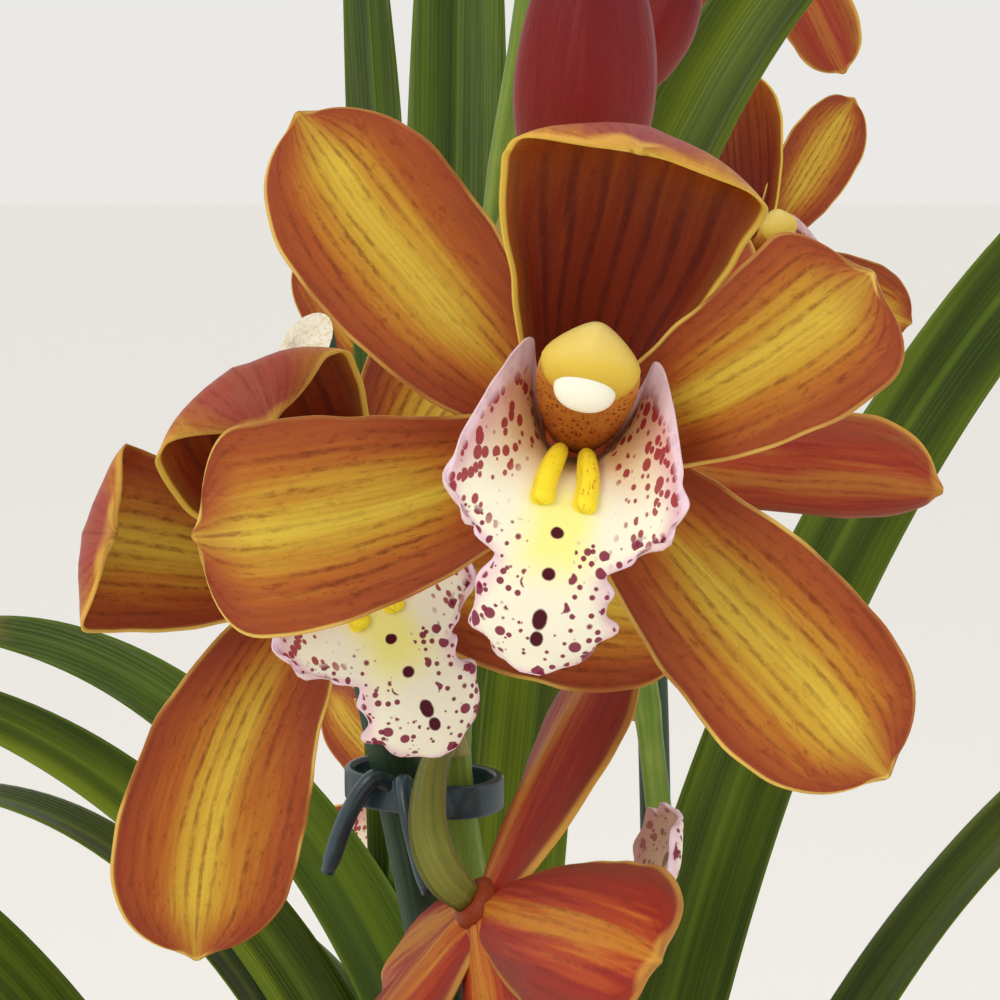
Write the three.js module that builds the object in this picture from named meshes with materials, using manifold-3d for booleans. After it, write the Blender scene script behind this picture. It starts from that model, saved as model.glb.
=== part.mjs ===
// A potted cymbidium orchid in flower: a clay pot filled with bark, four leafy shoots that grow
// from pseudobulbs, and two flower spikes tied to canes.
// Millimetres, +Z up. The front of the plant faces -Y. The origin is the middle of the pot's foot.
// A heading is in degrees seen from above: 0 points to the front, 90 to the right (+X).

import * as THREE from "three";
import { mergeVertices } from "three/addons/utils/BufferGeometryUtils.js";
import Module from "manifold-3d";

const wasm = await Module();
wasm.setup();

// Driving dimensions
const GAP = 0.4; // between pieces that touch
const STALK_GAP = 1.3; // between a stalk and the back of its flower or bud
const POT = {
  height: 185,
  rimRadius: 104,
  rimHeight: 34,
  footRadius: 68,
  wall: 7,
  floor: 9,
  sides: 32,
};
const DRAIN = { radius: 7, circle: 36, count: 3, sides: 12 };
const BARK = { edge: 162, crown: 168, chips: 26, chipLength: 24, chipWidth: 12, chipThickness: 6 };
const PETAL_THICKNESS = 1.3;
const LIP_THICKNESS = 1.2;
const LEAF_THICKNESS = 1.5;
const RACHIS = { baseRadius: 4.4, tipRadius: 2.6, sides: 6 };
const PEDICEL = { radius: 1.9, ovaryRadius: 2.9, sides: 5, steps: 5 };
const BRACT = { length: 11, width: 5.5 };
const CANE = { radius: 4.1, sides: 10 };
const CLIP = { clearance: 2.8, wall: 1.6, height: 5, leverRadius: 1.4 };
const SIMPLIFY = [0.25, 0.18, 0.12, 0.05]; // how far joining may move a surface, the best first

const rad = THREE.MathUtils.degToRad;
const smooth = THREE.MathUtils.smoothstep;
const lerp = THREE.MathUtils.lerp;
const vec = (x, y, z) => new THREE.Vector3(x, y, z);
const UP = vec(0, 0, 1);

// Solids
function solidOf(geometry) {
  const bare = geometry.index ? geometry.toNonIndexed() : geometry.clone();
  const points = new THREE.BufferGeometry();
  points.setAttribute("position", bare.getAttribute("position"));
  const merged = mergeVertices(points, 1e-4);
  return new wasm.Manifold(
    new wasm.Mesh({
      numProp: 3,
      vertProperties: merged.attributes.position.array,
      triVerts: new Uint32Array(merged.index.array),
    }),
  );
}

function geometryOf(solid) {
  const mesh = solid.getMesh();
  const geometry = new THREE.BufferGeometry();
  geometry.setAttribute("position", new THREE.BufferAttribute(mesh.vertProperties, 3));
  geometry.setIndex(new THREE.BufferAttribute(mesh.triVerts, 1));
  return geometry;
}

// Joins geometries into one solid and drops any loose scrap.
function fuse(geometries) {
  const joined = geometries.map(solidOf).reduce((a, b) => a.add(b)).asOriginal();
  const plainer = SIMPLIFY.map((distance) => biggest(joined.simplify(distance)));
  return plainer.find(meetsInPairs) ?? biggest(joined);
}

// Whether each edge of a solid, found by the places of its ends, is between two faces.
function meetsInPairs(solid) {
  const { vertProperties, triVerts, numProp } = solid.getMesh();
  const place = (i) => {
    const point = vertProperties.slice(i * numProp, i * numProp + 3);
    return Array.from(point, (x) => x.toFixed(3)).join();
  };
  const faces = new Map();
  triVerts.forEach((vertex, i) => {
    const next = triVerts[i % 3 === 2 ? i - 2 : i + 1];
    const edge = [place(vertex), place(next)].sort().join(" ");
    faces.set(edge, (faces.get(edge) ?? 0) + 1);
  });
  return [...faces.values()].every((count) => count === 2);
}

// Cuts the geometries in holes out of a solid.
const drilled = (solid, holes) => biggest(holes.map(solidOf).reduce((a, b) => a.subtract(b), solid));

function biggest(solid) {
  return solid.decompose().reduce((a, b) => (b.volume() > a.volume() ? b : a));
}

function trianglesToGeometry(points, faces) {
  const geometry = new THREE.BufferGeometry();
  const flat = points.flatMap((p) => [p.x, p.y, p.z]);
  geometry.setAttribute("position", new THREE.Float32BufferAttribute(flat, 3));
  geometry.setIndex(faces.flat());
  return geometry;
}

// A closed blade from rows of points: rows run along it, and each row runs across it, left to right.
function blade(rows, thickness) {
  const last = rows.length - 1;
  const wide = rows[0].length;
  const points = [];
  for (const side of [0.5, -0.5]) {
    rows.forEach((row, i) =>
      row.forEach((p, j) => {
        const along = rows[Math.min(i + 1, last)][j].clone().sub(rows[Math.max(i - 1, 0)][j]);
        const across = row[Math.min(j + 1, wide - 1)].clone().sub(row[Math.max(j - 1, 0)]);
        const normal = across.cross(along).normalize();
        points.push(p.clone().addScaledVector(normal, side * thickness));
      }),
    );
  }
  const back = rows.length * wide;
  const at = (i, j) => i * wide + j;
  const faces = [];
  for (let i = 0; i < last; i++)
    for (let j = 0; j < wide - 1; j++) {
      const [a, b, c, d] = [at(i, j), at(i, j + 1), at(i + 1, j + 1), at(i + 1, j)];
      faces.push([a, b, c], [a, c, d]);
      faces.push([back + a, back + c, back + b], [back + a, back + d, back + c]);
    }
  const wall = (a, b) => faces.push([b, a, back + a], [b, back + a, back + b]);
  for (let j = 0; j < wide - 1; j++) {
    wall(at(0, j), at(0, j + 1));
    wall(at(last, j + 1), at(last, j));
  }
  for (let i = 0; i < last; i++) {
    wall(at(i + 1, 0), at(i, 0));
    wall(at(i, wide - 1), at(i + 1, wide - 1));
  }
  return trianglesToGeometry(points, faces);
}

// A closed tube of round section through points, with a radius at each.
function tube(points, radii, sides) {
  const curve = new THREE.CatmullRomCurve3(points);
  const frames = curve.computeFrenetFrames(points.length - 1);
  const ring = [];
  points.forEach((p, i) => {
    const tangent = points[Math.min(i + 1, points.length - 1)].clone();
    tangent.sub(points[Math.max(i - 1, 0)]).normalize();
    const side = frames.normals[i].clone().addScaledVector(tangent, -frames.normals[i].dot(tangent));
    side.normalize();
    const other = tangent.clone().cross(side);
    for (let k = 0; k < sides; k++) {
      const turn = (2 * Math.PI * k) / sides;
      const q = p.clone().addScaledVector(side, radii[i] * Math.cos(turn));
      ring.push(q.addScaledVector(other, radii[i] * Math.sin(turn)));
    }
  });
  const faces = [];
  const end = ring.length;
  ring.push(points[0].clone(), points[points.length - 1].clone());
  for (let k = 0; k < sides; k++) {
    const n = (k + 1) % sides;
    faces.push([end, n, k], [end + 1, end - sides + k, end - sides + n]);
    for (let i = 0; i < points.length - 1; i++) {
      const [a, b] = [i * sides + k, i * sides + n];
      faces.push([a, b, b + sides], [a, b + sides, a + sides]);
    }
  }
  return trianglesToGeometry(ring, faces);
}

// A swollen body through rings: each ring is [centre, half width along right, half width along up].
function body(rings, right, up, sides) {
  const points = [];
  rings.forEach(([centre, wide, high]) => {
    for (let k = 0; k < sides; k++) {
      const turn = (2 * Math.PI * k) / sides;
      const p = centre.clone().addScaledVector(right, wide * Math.cos(turn));
      points.push(p.addScaledVector(up, high * Math.sin(turn)));
    }
  });
  const end = points.length;
  points.push(rings[0][0].clone(), rings[rings.length - 1][0].clone());
  const faces = [];
  for (let k = 0; k < sides; k++) {
    const n = (k + 1) % sides;
    faces.push([end, n, k], [end + 1, end - sides + k, end - sides + n]);
    for (let i = 0; i < rings.length - 1; i++) {
      const [a, b] = [i * sides + k, i * sides + n];
      faces.push([a, b, b + sides], [a, b + sides, a + sides]);
    }
  }
  return trianglesToGeometry(points, faces);
}

// A seeded random number from 0 to 1.
function seeded(seed) {
  let state = seed;
  return () => {
    state = (state * 16807) % 2147483647;
    return state / 2147483647;
  };
}

// Flowers. A flower's own frame has its face along +Z, its top along +Y and its right, as seen from
// the front, along +X. An angle is clockwise from the top, as seen from the front.
//
// A tepal leaves the middle at angle and turns by sweep along its length. rise is how far it leans to
// the front at its base, bend adds to that along its length and curl adds to it over the last third,
// all in degrees. cup is how far each half bends forward across the tepal, at the base and at the tip,
// and belly is where it is widest.
const TEPAL = {
  sweep: 0,
  length: 47,
  width: 23,
  rise: 12,
  bend: 0,
  curl: 0,
  cup: [35, 15],
  twist: 0,
  belly: 0.66,
  neck: 0.4,
};

// The hooded top sepal, two petals and two side sepals of an ordinary open flower.
const OPEN_FLOWER = [
  { angle: 0, length: 46, width: 27, rise: 12, bend: 34, curl: 40, cup: [55, 40] },
  { angle: 58, rise: 14, bend: -6, curl: -10 },
  { angle: 124, rise: 6, bend: 6, curl: 6, width: 24 },
  { angle: -124, rise: 6, bend: 6, curl: 6, width: 24 },
  { angle: -58, rise: 14, bend: -6, curl: -10 },
];

// The large flower in front.
const FRONT_FLOWER = [
  {
    angle: -3, sweep: 14, length: 46, width: 32, rise: 4, bend: 46,
    curl: 75, cup: [72, 28], twist: -6, belly: 0.75,
  },
  { angle: 64, sweep: -30, length: 39, width: 21, rise: 30, curl: -14, cup: [35, 12], belly: 0.86 },
  { angle: 125, sweep: 2, length: 50, width: 24, rise: 5, bend: 4, cup: [30, 14], belly: 0.69 },
  {
    angle: -125, sweep: 20, length: 43.5, width: 25, rise: 14,
    bend: -2, curl: -20, cup: [30, 8], belly: 0.84,
  },
  { angle: -59, sweep: 15, length: 47, width: 22.7, rise: 8, bend: -4, cup: [35, 10], belly: 0.64 },
];

// The flower at its lower left.
const LEFT_FLOWER = [
  {
    angle: -6, sweep: 6, length: 44, width: 30, rise: 13,
    bend: 58, curl: 112, cup: [50, 32], belly: 0.56,
  },
  { angle: 56, length: 46, rise: 0, cup: [35, 14] },
  { angle: 125, length: 46, width: 24, rise: 2, cup: [30, 15] },
  {
    angle: -113, sweep: -40, length: 52.5, width: 24.5, rise: -2,
    bend: -4, cup: [30, 12], belly: 0.74,
  },
  {
    angle: -56, length: 42, width: 24.5, rise: 12, bend: 20,
    curl: 98, cup: [39, 14], twist: 4, belly: 0.77,
  },
];

// The flower behind them, seen from its back.
const BACK_FLOWER = [
  { angle: -12, length: 44, rise: 20, bend: 20 },
  { angle: 68, length: 43, width: 22, rise: 4, bend: 4 },
  { angle: 126, length: 42, rise: 16, bend: 10 },
  { angle: -152, length: 42, rise: 16, bend: 10 },
  { angle: -91, length: 47, width: 24, rise: 2, bend: 4, cup: [70, 66], twist: -30 },
];

// The flower below them, which hangs over with its back to the front.
const SIDE_FLOWER = [
  { angle: 0, length: 46, width: 26, rise: -4, bend: 14, cup: [45, 35] },
  { angle: 58, length: 45, rise: 22, bend: 12, cup: [36, 20] },
  { angle: 116, length: 44, width: 26, rise: -4, bend: 16, cup: [44, 34] },
  { angle: -154, length: 40, width: 26, rise: -6, bend: 6, cup: [40, 24] },
  { angle: -46, length: 36, rise: 6, bend: 14, cup: [40, 34] },
];

// Two flowers of the spike behind.
const HIGH_FLOWER = [
  { angle: 0, length: 50, width: 25, rise: 8, bend: 6, curl: 8, cup: [40, 25] },
  { angle: 46, length: 50, width: 24, rise: 8, bend: -4 },
  { angle: 124, length: 50, width: 24, rise: 4, bend: 4 },
  { angle: -128, length: 46, rise: 6, bend: 6 },
  { angle: -60, length: 44, rise: 14, bend: -6 },
];
const DROOPING_FLOWER = [
  { angle: 0, length: 44, width: 26, rise: 12, bend: 30, curl: 30, cup: [50, 36] },
  { angle: 64, length: 44, rise: 12 },
  { angle: 150, length: 46, width: 23, rise: 10, bend: 6 },
  { angle: -162, length: 50, width: 22, rise: 6, bend: 4 },
  { angle: -64, length: 44, rise: 12 },
];

const tepalWidth = (v, { belly, neck }) => {
  if (v < belly) return lerp(neck, 1, Math.sin((Math.PI / 2) * (v / belly)));
  return Math.sqrt(1 - Math.pow((v - belly) / (1 - belly), 2.3));
};

// Rows of points on a tepal's middle surface, at stations from 0 at its base to 1 at its tip.
function tepalRows(tepal, stations, columns) {
  const steps = 40;
  const start = 2.5; // from the flower's middle
  const turn = (v) => rad(tepal.angle + tepal.sweep * v);
  const lean = (v) => rad(tepal.rise + tepal.bend * v + tepal.curl * smooth(v, 0.62, 1));
  const outward = (v) => vec(Math.sin(turn(v)), Math.cos(turn(v)), 0);
  const spine = [outward(0).multiplyScalar(start)];
  for (let i = 0; i < steps; i++) {
    const v = (i + 0.5) / steps;
    const ahead = outward(v).multiplyScalar(Math.cos(lean(v)));
    ahead.z = Math.sin(lean(v));
    spine.push(spine[i].clone().addScaledVector(ahead, tepal.length / steps));
  }
  return stations.map((v) => {
    const place = Math.min(v * steps, steps - 1e-6);
    const at = spine[Math.floor(place)].clone().lerp(spine[Math.floor(place) + 1], place % 1);
    const side = vec(Math.cos(turn(v)), -Math.sin(turn(v)), 0);
    const face = outward(v).multiplyScalar(-Math.sin(lean(v)));
    face.z = Math.cos(lean(v));
    const twist = rad(tepal.twist * v);
    const across = side.clone().multiplyScalar(Math.cos(twist)).addScaledVector(face, Math.sin(twist));
    const front = face.multiplyScalar(Math.cos(twist)).addScaledVector(side, -Math.sin(twist));
    const cup = rad(Math.max(1, lerp(tepal.cup[0], tepal.cup[1], v)));
    const half = (tepal.width / 2) * tepalWidth(v, tepal);
    return acrossFrom(columns, (u) => {
      const p = at.clone().addScaledVector(across, (half * Math.sin(cup * u)) / cup);
      return p.addScaledVector(front, (half * (1 - Math.cos(cup * u))) / cup);
    });
  });
}

// Points made by a function of u, from -1 at the left edge to 1 at the right.
const acrossFrom = (columns, point) =>
  Array.from({ length: columns + 1 }, (_, j) => point((2 * j) / columns - 1));

// The lip is a trough round the column, with a lobe standing up on each side, that turns down in front
// into a tongue. Each row is [middle y, middle z, edge x, edge y, edge z].
const LIP_ROWS = [
  [-2.4, 4.4, 4.4, 1.5, 4.2],
  [-2.8, 6.6, 6.4, 7.5, 7],
  [-3.4, 9.5, 7.6, 10.4, 11],
  [-4.4, 12.8, 10.4, 6.5, 15],
  [-6.6, 15.8, 12.6, -0.5, 18],
  [-9.8, 17.8, 13.4, -6, 19.4],
  [-13.6, 18.8, 9.8, -12, 18.8],
  [-17.6, 18.8, 7.2, -16.8, 17],
  [-21.8, 17.6, 7.4, -20.8, 15],
  [-25.6, 15.6, 3.2, -24.8, 13.6],
];

const lipRows = (rows, columns) =>
  rows.map(([y, z, edgeX, edgeY, edgeZ]) =>
    acrossFrom(columns, (u) => {
      const wide = Math.sign(u) * (1 - Math.pow(1 - Math.abs(u), 1.7));
      const rise = Math.pow(Math.abs(u), 2.2);
      return vec(edgeX * wide, lerp(y, edgeY, rise), lerp(z, edgeZ, rise));
    }),
  );

// The two ridges down the middle of the lip.
const callusRidges = () =>
  [-1, 1].map((side) => {
    const ridge = [
      vec(side * 1.8, -2.4, 8.6),
      vec(side * 2, -3.4, 12.2),
      vec(side * 2.4, -5.4, 15.2),
      vec(side * 2.6, -8, 17.2),
    ];
    return tube(ridge, [0.8, 1.2, 1.3, 0.8], 5);
  });

// The column arches forward over the lip and ends in the anther cap.
const columnGeometry = (sides) => {
  const rings = [
    [vec(0, 2.4, 2.8), 3, 2],
    [vec(0, 3.4, 7), 4.2, 2.7],
    [vec(0, 5.8, 12.5), 5.4, 3.2],
    [vec(0, 8, 16.4), 5.9, 3.9],
    [vec(0, 8.4, 18.8), 5.2, 3.7],
    [vec(0, 7.8, 20.6), 2.8, 2.2],
  ];
  return body(rings, vec(1, 0, 0), vec(0, 1, 0), sides);
};

// The disc that the tepals grow from, with its back flat for the stalk.
const RECEPTACLE = [
  [vec(0, 0, -2), 2.6, 2.6],
  [vec(0, 0, -0.4), 4, 4],
  [vec(0, 0, 1.6), 3.4, 3.4],
];
const FLOWER_BACK = 2; // how far the flat back is behind the flower's middle

const FINE = {
  stations: [0, 0.16, 0.36, 0.58, 0.76, 0.9, 0.985],
  columns: 4,
  lip: 8,
  skip: 1,
  column: 10,
};
const PLAIN = { stations: [0, 0.25, 0.52, 0.78, 0.97], columns: 2, lip: 4, skip: 2, column: 6 };

// Where a flower or bud is: its middle, the way it faces, and its top rolled clockwise.
function bloomFrame({ at, heading, elevation = 0, roll = 0 }) {
  const [a, e, r] = [rad(heading), rad(elevation), rad(roll)];
  const face = vec(Math.sin(a) * Math.cos(e), -Math.cos(a) * Math.cos(e), Math.sin(e));
  const level = vec(Math.cos(a), Math.sin(a), 0);
  const upright = face.clone().cross(level);
  const top = upright.clone().multiplyScalar(Math.cos(r)).addScaledVector(level, Math.sin(r));
  const right = level.clone().multiplyScalar(Math.cos(r)).addScaledVector(upright, -Math.sin(r));
  return new THREE.Matrix4().makeBasis(right, top, face).setPosition(...at);
}

// Gives each ordinary flower a slightly different set of tepals.
const varied = (tepals, flower) =>
  tepals.map((tepal, i) => {
    const wave = (k) => Math.sin(flower * 2.3 + i * 1.9 + k);
    const { rise = TEPAL.rise, length = TEPAL.length, angle } = tepal;
    return {
      ...tepal,
      angle: angle + 4 * wave(0),
      rise: rise + 5 * wave(1),
      length: length + 2 * wave(2),
    };
  });

// The flowers of each spike, from the top down. leaves is the share of the spike where the stalk
// leaves it.
const FLOWERS = [
  {
    spike: 0, leaves: 0.845, at: [9, -169, 607], heading: -2, elevation: 7, roll: 11,
    tepals: FRONT_FLOWER, detail: FINE,
  },
  {
    spike: 0, leaves: 0.81, at: [-21, -137, 586], heading: 8, elevation: 12, roll: -26,
    tepals: LEFT_FLOWER, detail: FINE,
  },
  {
    spike: 0, leaves: 0.86, at: [20, -70, 592], heading: 162, elevation: 0, roll: -2,
    tepals: BACK_FLOWER,
  },
  {
    spike: 0, leaves: 0.78, at: [-3, -130, 538], heading: 108, elevation: -36, roll: 166,
    tepals: SIDE_FLOWER,
  },
  { spike: 0, leaves: 0.68, at: [-22, -144, 490], heading: -24, elevation: 4, roll: -6 },
  { spike: 0, leaves: 0.58, at: [46, -124, 452], heading: 42, elevation: 0, roll: 8 },
  {
    spike: 1, leaves: 0.9, at: [72, 232, 712], heading: 158, elevation: 4, roll: 8,
    tepals: DROOPING_FLOWER,
  },
  {
    spike: 1, leaves: 0.8, at: [71, 222, 614], heading: 24, elevation: 2, roll: -12,
    tepals: HIGH_FLOWER,
  },
  { spike: 1, leaves: 0.72, at: [-24, 196, 576], heading: -32, elevation: 2, roll: 20 },
  { spike: 1, leaves: 0.58, at: [-18, 160, 470], heading: -48, elevation: 0, roll: 4 },
  { spike: 1, leaves: 0.46, at: [92, 112, 388], heading: 58, elevation: -4, roll: 8 },
];

// Buds: the tip of each points along its heading and elevation.
const BUDS = [
  { spike: 0, leaves: 0.93, at: [9.7, -142, 631], heading: 10, elevation: 80, length: 42, radius: 9.2 },
  { spike: 0, leaves: 0.94, at: [19, -112, 650], heading: 50, elevation: 60, length: 20, radius: 5 },
  { spike: 0, leaves: 0.985, at: [-6, -128, 690], heading: -40, elevation: 55, length: 22, radius: 4.8 },
  { spike: 1, leaves: 0.95, at: [22, 222, 722], heading: -60, elevation: 40, length: 32, radius: 7 },
  { spike: 1, leaves: 0.985, at: [54, 226, 752], heading: 40, elevation: 55, length: 24, radius: 5 },
];

// How wide a bud is along its length.
const BUD_SHAPE = [[0, 0.35], [0.12, 0.75], [0.4, 1], [0.66, 0.86], [0.88, 0.45], [1, 0.12]];

// The way up the middle of each spike.
const SPIKES = [
  [
    [52, -56, 146], [49, -62, 206], [41, -69, 266], [32, -75, 326], [22, -82, 386],
    [11.5, -89, 446], [0, -96, 506], [-7.5, -101.5, 556], [-3, -112, 604], [9, -123, 694],
  ],
  [
    [60, 36, 146], [57, 56, 246], [50, 90, 350], [43, 130, 450],
    [34, 182, 556], [38, 212, 650], [46, 228, 746],
  ],
];

// The canes that the spikes are tied to: bottom and top.
const CANES = [
  [[62, -41.6, 125], [-28.3, -103, 617]],
  [[46, 52, 110], [40, 196, 566]],
];

// The clips that tie a spike to its cane, by their height.
const CLIPS = [
  { spike: 0, z: 546 },
  { spike: 0, z: 400 },
  { spike: 1, z: 540 },
];

// Leafy shoots: where each bulb stands, the heading of its fan, and its leaves. A leaf starts at a
// distance along the fan and leans from its base to its tip by lean, in degrees from upright, following
// a power of the way along it. twist turns the blade about its own length, by the time it is half way.
const SHOOTS = [
  {
    at: [0, 10],
    heading: 100,
    leaves: [
      { heading: 105, length: 560, width: 23, lean: [3, 80], power: 2.7, start: 8, twist: 80 },
      { heading: -108, length: 408, width: 19, lean: [-5, 96], power: 3.1, start: -9, twist: -60 },
      { heading: -97, length: 403, width: 18, lean: [-4, 91], power: 2.7, start: -13, twist: -50 },
      { heading: 178, length: 560, width: 27, lean: [0, 22], power: 2, start: -10, twist: 0 },
      { heading: 92, length: 610, width: 21, lean: [-1, 118], power: 4.8, start: 6, twist: 75 },
      { heading: -168, length: 540, width: 19, lean: [2, 26], power: 2, start: -14, twist: -40 },
    ],
  },
  {
    at: [-50, 26],
    heading: -130,
    leaves: [
      { heading: -92, length: 430, width: 21, lean: [-2, 118], power: 2.4, start: 2, twist: -40 },
      { heading: -128, length: 470, width: 23, lean: [4, 118], power: 1.7, start: 10, twist: 0 },
      { heading: -106, length: 390, width: 20, lean: [-9, 125], power: 3.2, start: -6, twist: 0 },
      { heading: -58, length: 360, width: 20, lean: [6, 126], power: 1.5, start: 12, twist: 0 },
    ],
  },
  {
    at: [18, 62],
    heading: 150,
    leaves: [
      { heading: 114, length: 486, width: 23, lean: [6, 108], power: 1.8, start: 0, twist: 0 },
      { heading: 180, length: 300, width: 20, lean: [3, 135], power: 1.6, start: 10, twist: 0 },
      { heading: 86, length: 470, width: 22, lean: [5, 118], power: 1.7, start: -6, twist: 0 },
      { heading: -150, length: 380, width: 21, lean: [4, 124], power: 1.6, start: -3, twist: 0 },
    ],
  },
  {
    at: [2, -48],
    heading: -60,
    leaves: [
      { heading: -66, length: 430, width: 22, lean: [3, 120], power: 1.6, start: 8, twist: 0 },
      { heading: -32, length: 360, width: 20, lean: [6, 125], power: 1.4, start: 4, twist: 0 },
      { heading: 100, length: 420, width: 22, lean: [8, 118], power: 1.5, start: -7, twist: 0 },
      { heading: -6, length: 320, width: 20, lean: [10, 130], power: 1.3, start: -6, twist: 0 },
    ],
  },
];

const BULB = { foot: 148, height: 84, wide: 24, deep: 16 };
const BULB_SHAPE = [[0, 0.35], [0.14, 0.8], [0.36, 1], [0.62, 0.84], [0.84, 0.5], [1, 0.22]];

// A point by its heading, distance and height.
const polar = (heading, distance, z = 0) =>
  vec(Math.sin(rad(heading)) * distance, -Math.cos(rad(heading)) * distance, z);

function bulbGeometry({ at, heading }, grow = 0) {
  const rings = BULB_SHAPE.map(([share, wide]) => {
    const centre = vec(at[0], at[1], BULB.foot + BULB.height * share + grow * (share - 0.5) * 2);
    return [centre, BULB.wide * wide + grow, BULB.deep * wide + grow];
  });
  return body(rings, polar(heading, 1), polar(heading + 90, 1), 10);
}

const LEAF_STATIONS = [0, 0.14, 0.3, 0.44, 0.57, 0.69, 0.8, 0.9, 0.985];

const leafWidth = (v) => {
  const taper = Math.max(0, v - 0.3) / 0.7;
  return lerp(0.75, 1, smooth(v, 0, 0.3)) * Math.sqrt(1 - Math.pow(taper, 3));
};

// Rows of points on a strap leaf, folded along its middle at the base and nearly flat higher up.
function leafRows({ at, heading }, leaf, stations) {
  const steps = 60;
  const out = polar(leaf.heading, 1);
  const side = polar(leaf.heading + 90, 1);
  const lean = (v) => rad(lerp(leaf.lean[0], leaf.lean[1], Math.pow(v, leaf.power)));
  const along = (v) =>
    out.clone().multiplyScalar(Math.sin(lean(v))).addScaledVector(UP, Math.cos(lean(v)));
  const foot = polar(heading, leaf.start, BULB.foot + BULB.height * 0.62).add(vec(at[0], at[1], 0));
  const spine = [foot];
  for (let i = 0; i < steps; i++)
    spine.push(spine[i].clone().addScaledVector(along((i + 0.5) / steps), leaf.length / steps));
  return stations.map((v) => {
    const place = Math.min(v * steps, steps - 1e-6);
    const middle = spine[Math.floor(place)].clone().lerp(spine[Math.floor(place) + 1], place % 1);
    const twist = rad(leaf.twist * smooth(v, 0.1, 0.6));
    const above = along(v).cross(side).normalize();
    const across = side.clone().multiplyScalar(Math.cos(twist)).addScaledVector(above, Math.sin(twist));
    const upper = above.multiplyScalar(Math.cos(twist)).addScaledVector(side, -Math.sin(twist));
    const fold = rad(lerp(62, 16, smooth(v, 0, 0.35)));
    const half = (leaf.width / 2) * leafWidth(v);
    return acrossFrom(2, (u) => {
      const p = middle.clone().addScaledVector(across, half * u * Math.cos(fold));
      return p.addScaledVector(upper, half * Math.abs(u) * Math.sin(fold));
    });
  });
}

// Materials
const matte = (color, roughness) => new THREE.MeshStandardMaterial({ color, roughness });
const TEPAL_SKIN = matte(0xb5622a, 0.5);
const LIP_SKIN = matte(0xf0dfe0, 0.5);
const COLUMN_SKIN = matte(0xdcbb4c, 0.45);
const BUD_SKIN = matte(0x8a2f2c, 0.5);
const STEM_SKIN = matte(0x6f8a3a, 0.5);
const LEAF_SKIN = matte(0x335c1e, 0.45);
const CANE_SKIN = matte(0x1c3a1e, 0.6);
const CLIP_PLASTIC = matte(0x24383e, 0.4);
const CLAY = matte(0xb4683f, 0.85);
const BARK_SKIN = matte(0x5a3a24, 0.95);

const plant = new THREE.Group();

function addMesh(parent, name, geometry, material) {
  const mesh = new THREE.Mesh(geometry, material);
  mesh.name = name;
  parent.add(mesh);
}

function addFlower(flower, index) {
  const detail = flower.detail ?? PLAIN;
  const tepals = flower.tepals ?? varied(OPEN_FLOWER, index);
  const name = `flower_${index + 1}`;
  const group = new THREE.Group();
  group.applyMatrix4(bloomFrame(flower));
  const blades = tepals.map((t) => tepalRows({ ...TEPAL, ...t }, detail.stations, detail.columns));
  const middle = body(RECEPTACLE, vec(1, 0, 0), vec(0, 1, 0), 6);
  const all = [middle, ...blades.map((rows) => blade(rows, PETAL_THICKNESS))];
  addMesh(group, `${name}_tepals`, geometryOf(fuse(all)), TEPAL_SKIN);
  const rows = LIP_ROWS.filter((_, i) => i % detail.skip === 0 || i === LIP_ROWS.length - 1);
  const lip = [blade(lipRows(rows, detail.lip), LIP_THICKNESS)];
  if (detail === FINE) lip.push(...callusRidges());
  addMesh(group, `${name}_lip`, geometryOf(fuse(lip)), LIP_SKIN);
  addMesh(group, `${name}_column`, geometryOf(fuse([columnGeometry(detail.column)])), COLUMN_SKIN);
  plant.add(group);
}

function addBud(bud, index) {
  const group = new THREE.Group();
  group.applyMatrix4(bloomFrame(bud));
  const rings = BUD_SHAPE.map(([share, wide]) => {
    const half = bud.radius * wide;
    return [vec(0, 0, bud.length * share), half, 0.8 * half];
  });
  addMesh(group, `bud_${index + 1}`, body(rings, vec(1, 0, 0), vec(0, 1, 0), 8), BUD_SKIN);
  plant.add(group);
}

const curveThrough = (way) =>
  new THREE.CatmullRomCurve3(way.map((p) => vec(...p)), false, "catmullrom", 0.5);
const spikeCurves = SPIKES.map(curveThrough);

const rachisRadius = (share) => lerp(RACHIS.baseRadius, RACHIS.tipRadius, share);

function rachisGeometry(spike, grow = 0) {
  const rings = 15;
  const shares = Array.from({ length: rings + 1 }, (_, i) => i / rings);
  const points = shares.map((share) => spikeCurves[spike].getPoint(share));
  return tube(points, shares.map((share) => rachisRadius(share) + grow), RACHIS.sides);
}

// A stalk, with the thicker ovary at its end, ends behind its flower or bud.
function stalkGeometry(bloom, back) {
  const from = spikeCurves[bloom.spike].getPoint(bloom.leaves);
  const face = vec(0, 0, 1).transformDirection(bloomFrame(bloom));
  const to = vec(...bloom.at).addScaledVector(face, -back - STALK_GAP);
  const span = from.distanceTo(to);
  const side = to.clone().sub(from).setZ(0).normalize();
  const leave = from.clone().addScaledVector(side, span * 0.3).addScaledVector(UP, span * 0.12);
  const arrive = to.clone().addScaledVector(face, -span * 0.42);
  const points = new THREE.CubicBezierCurve3(from, leave, arrive, to).getPoints(PEDICEL.steps);
  const thickening = (i) => smooth(i / PEDICEL.steps, 0.3, 0.8);
  const radii = points.map((_, i) => lerp(PEDICEL.radius, PEDICEL.ovaryRadius, thickening(i)));
  return tube(points, radii, PEDICEL.sides);
}

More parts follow.
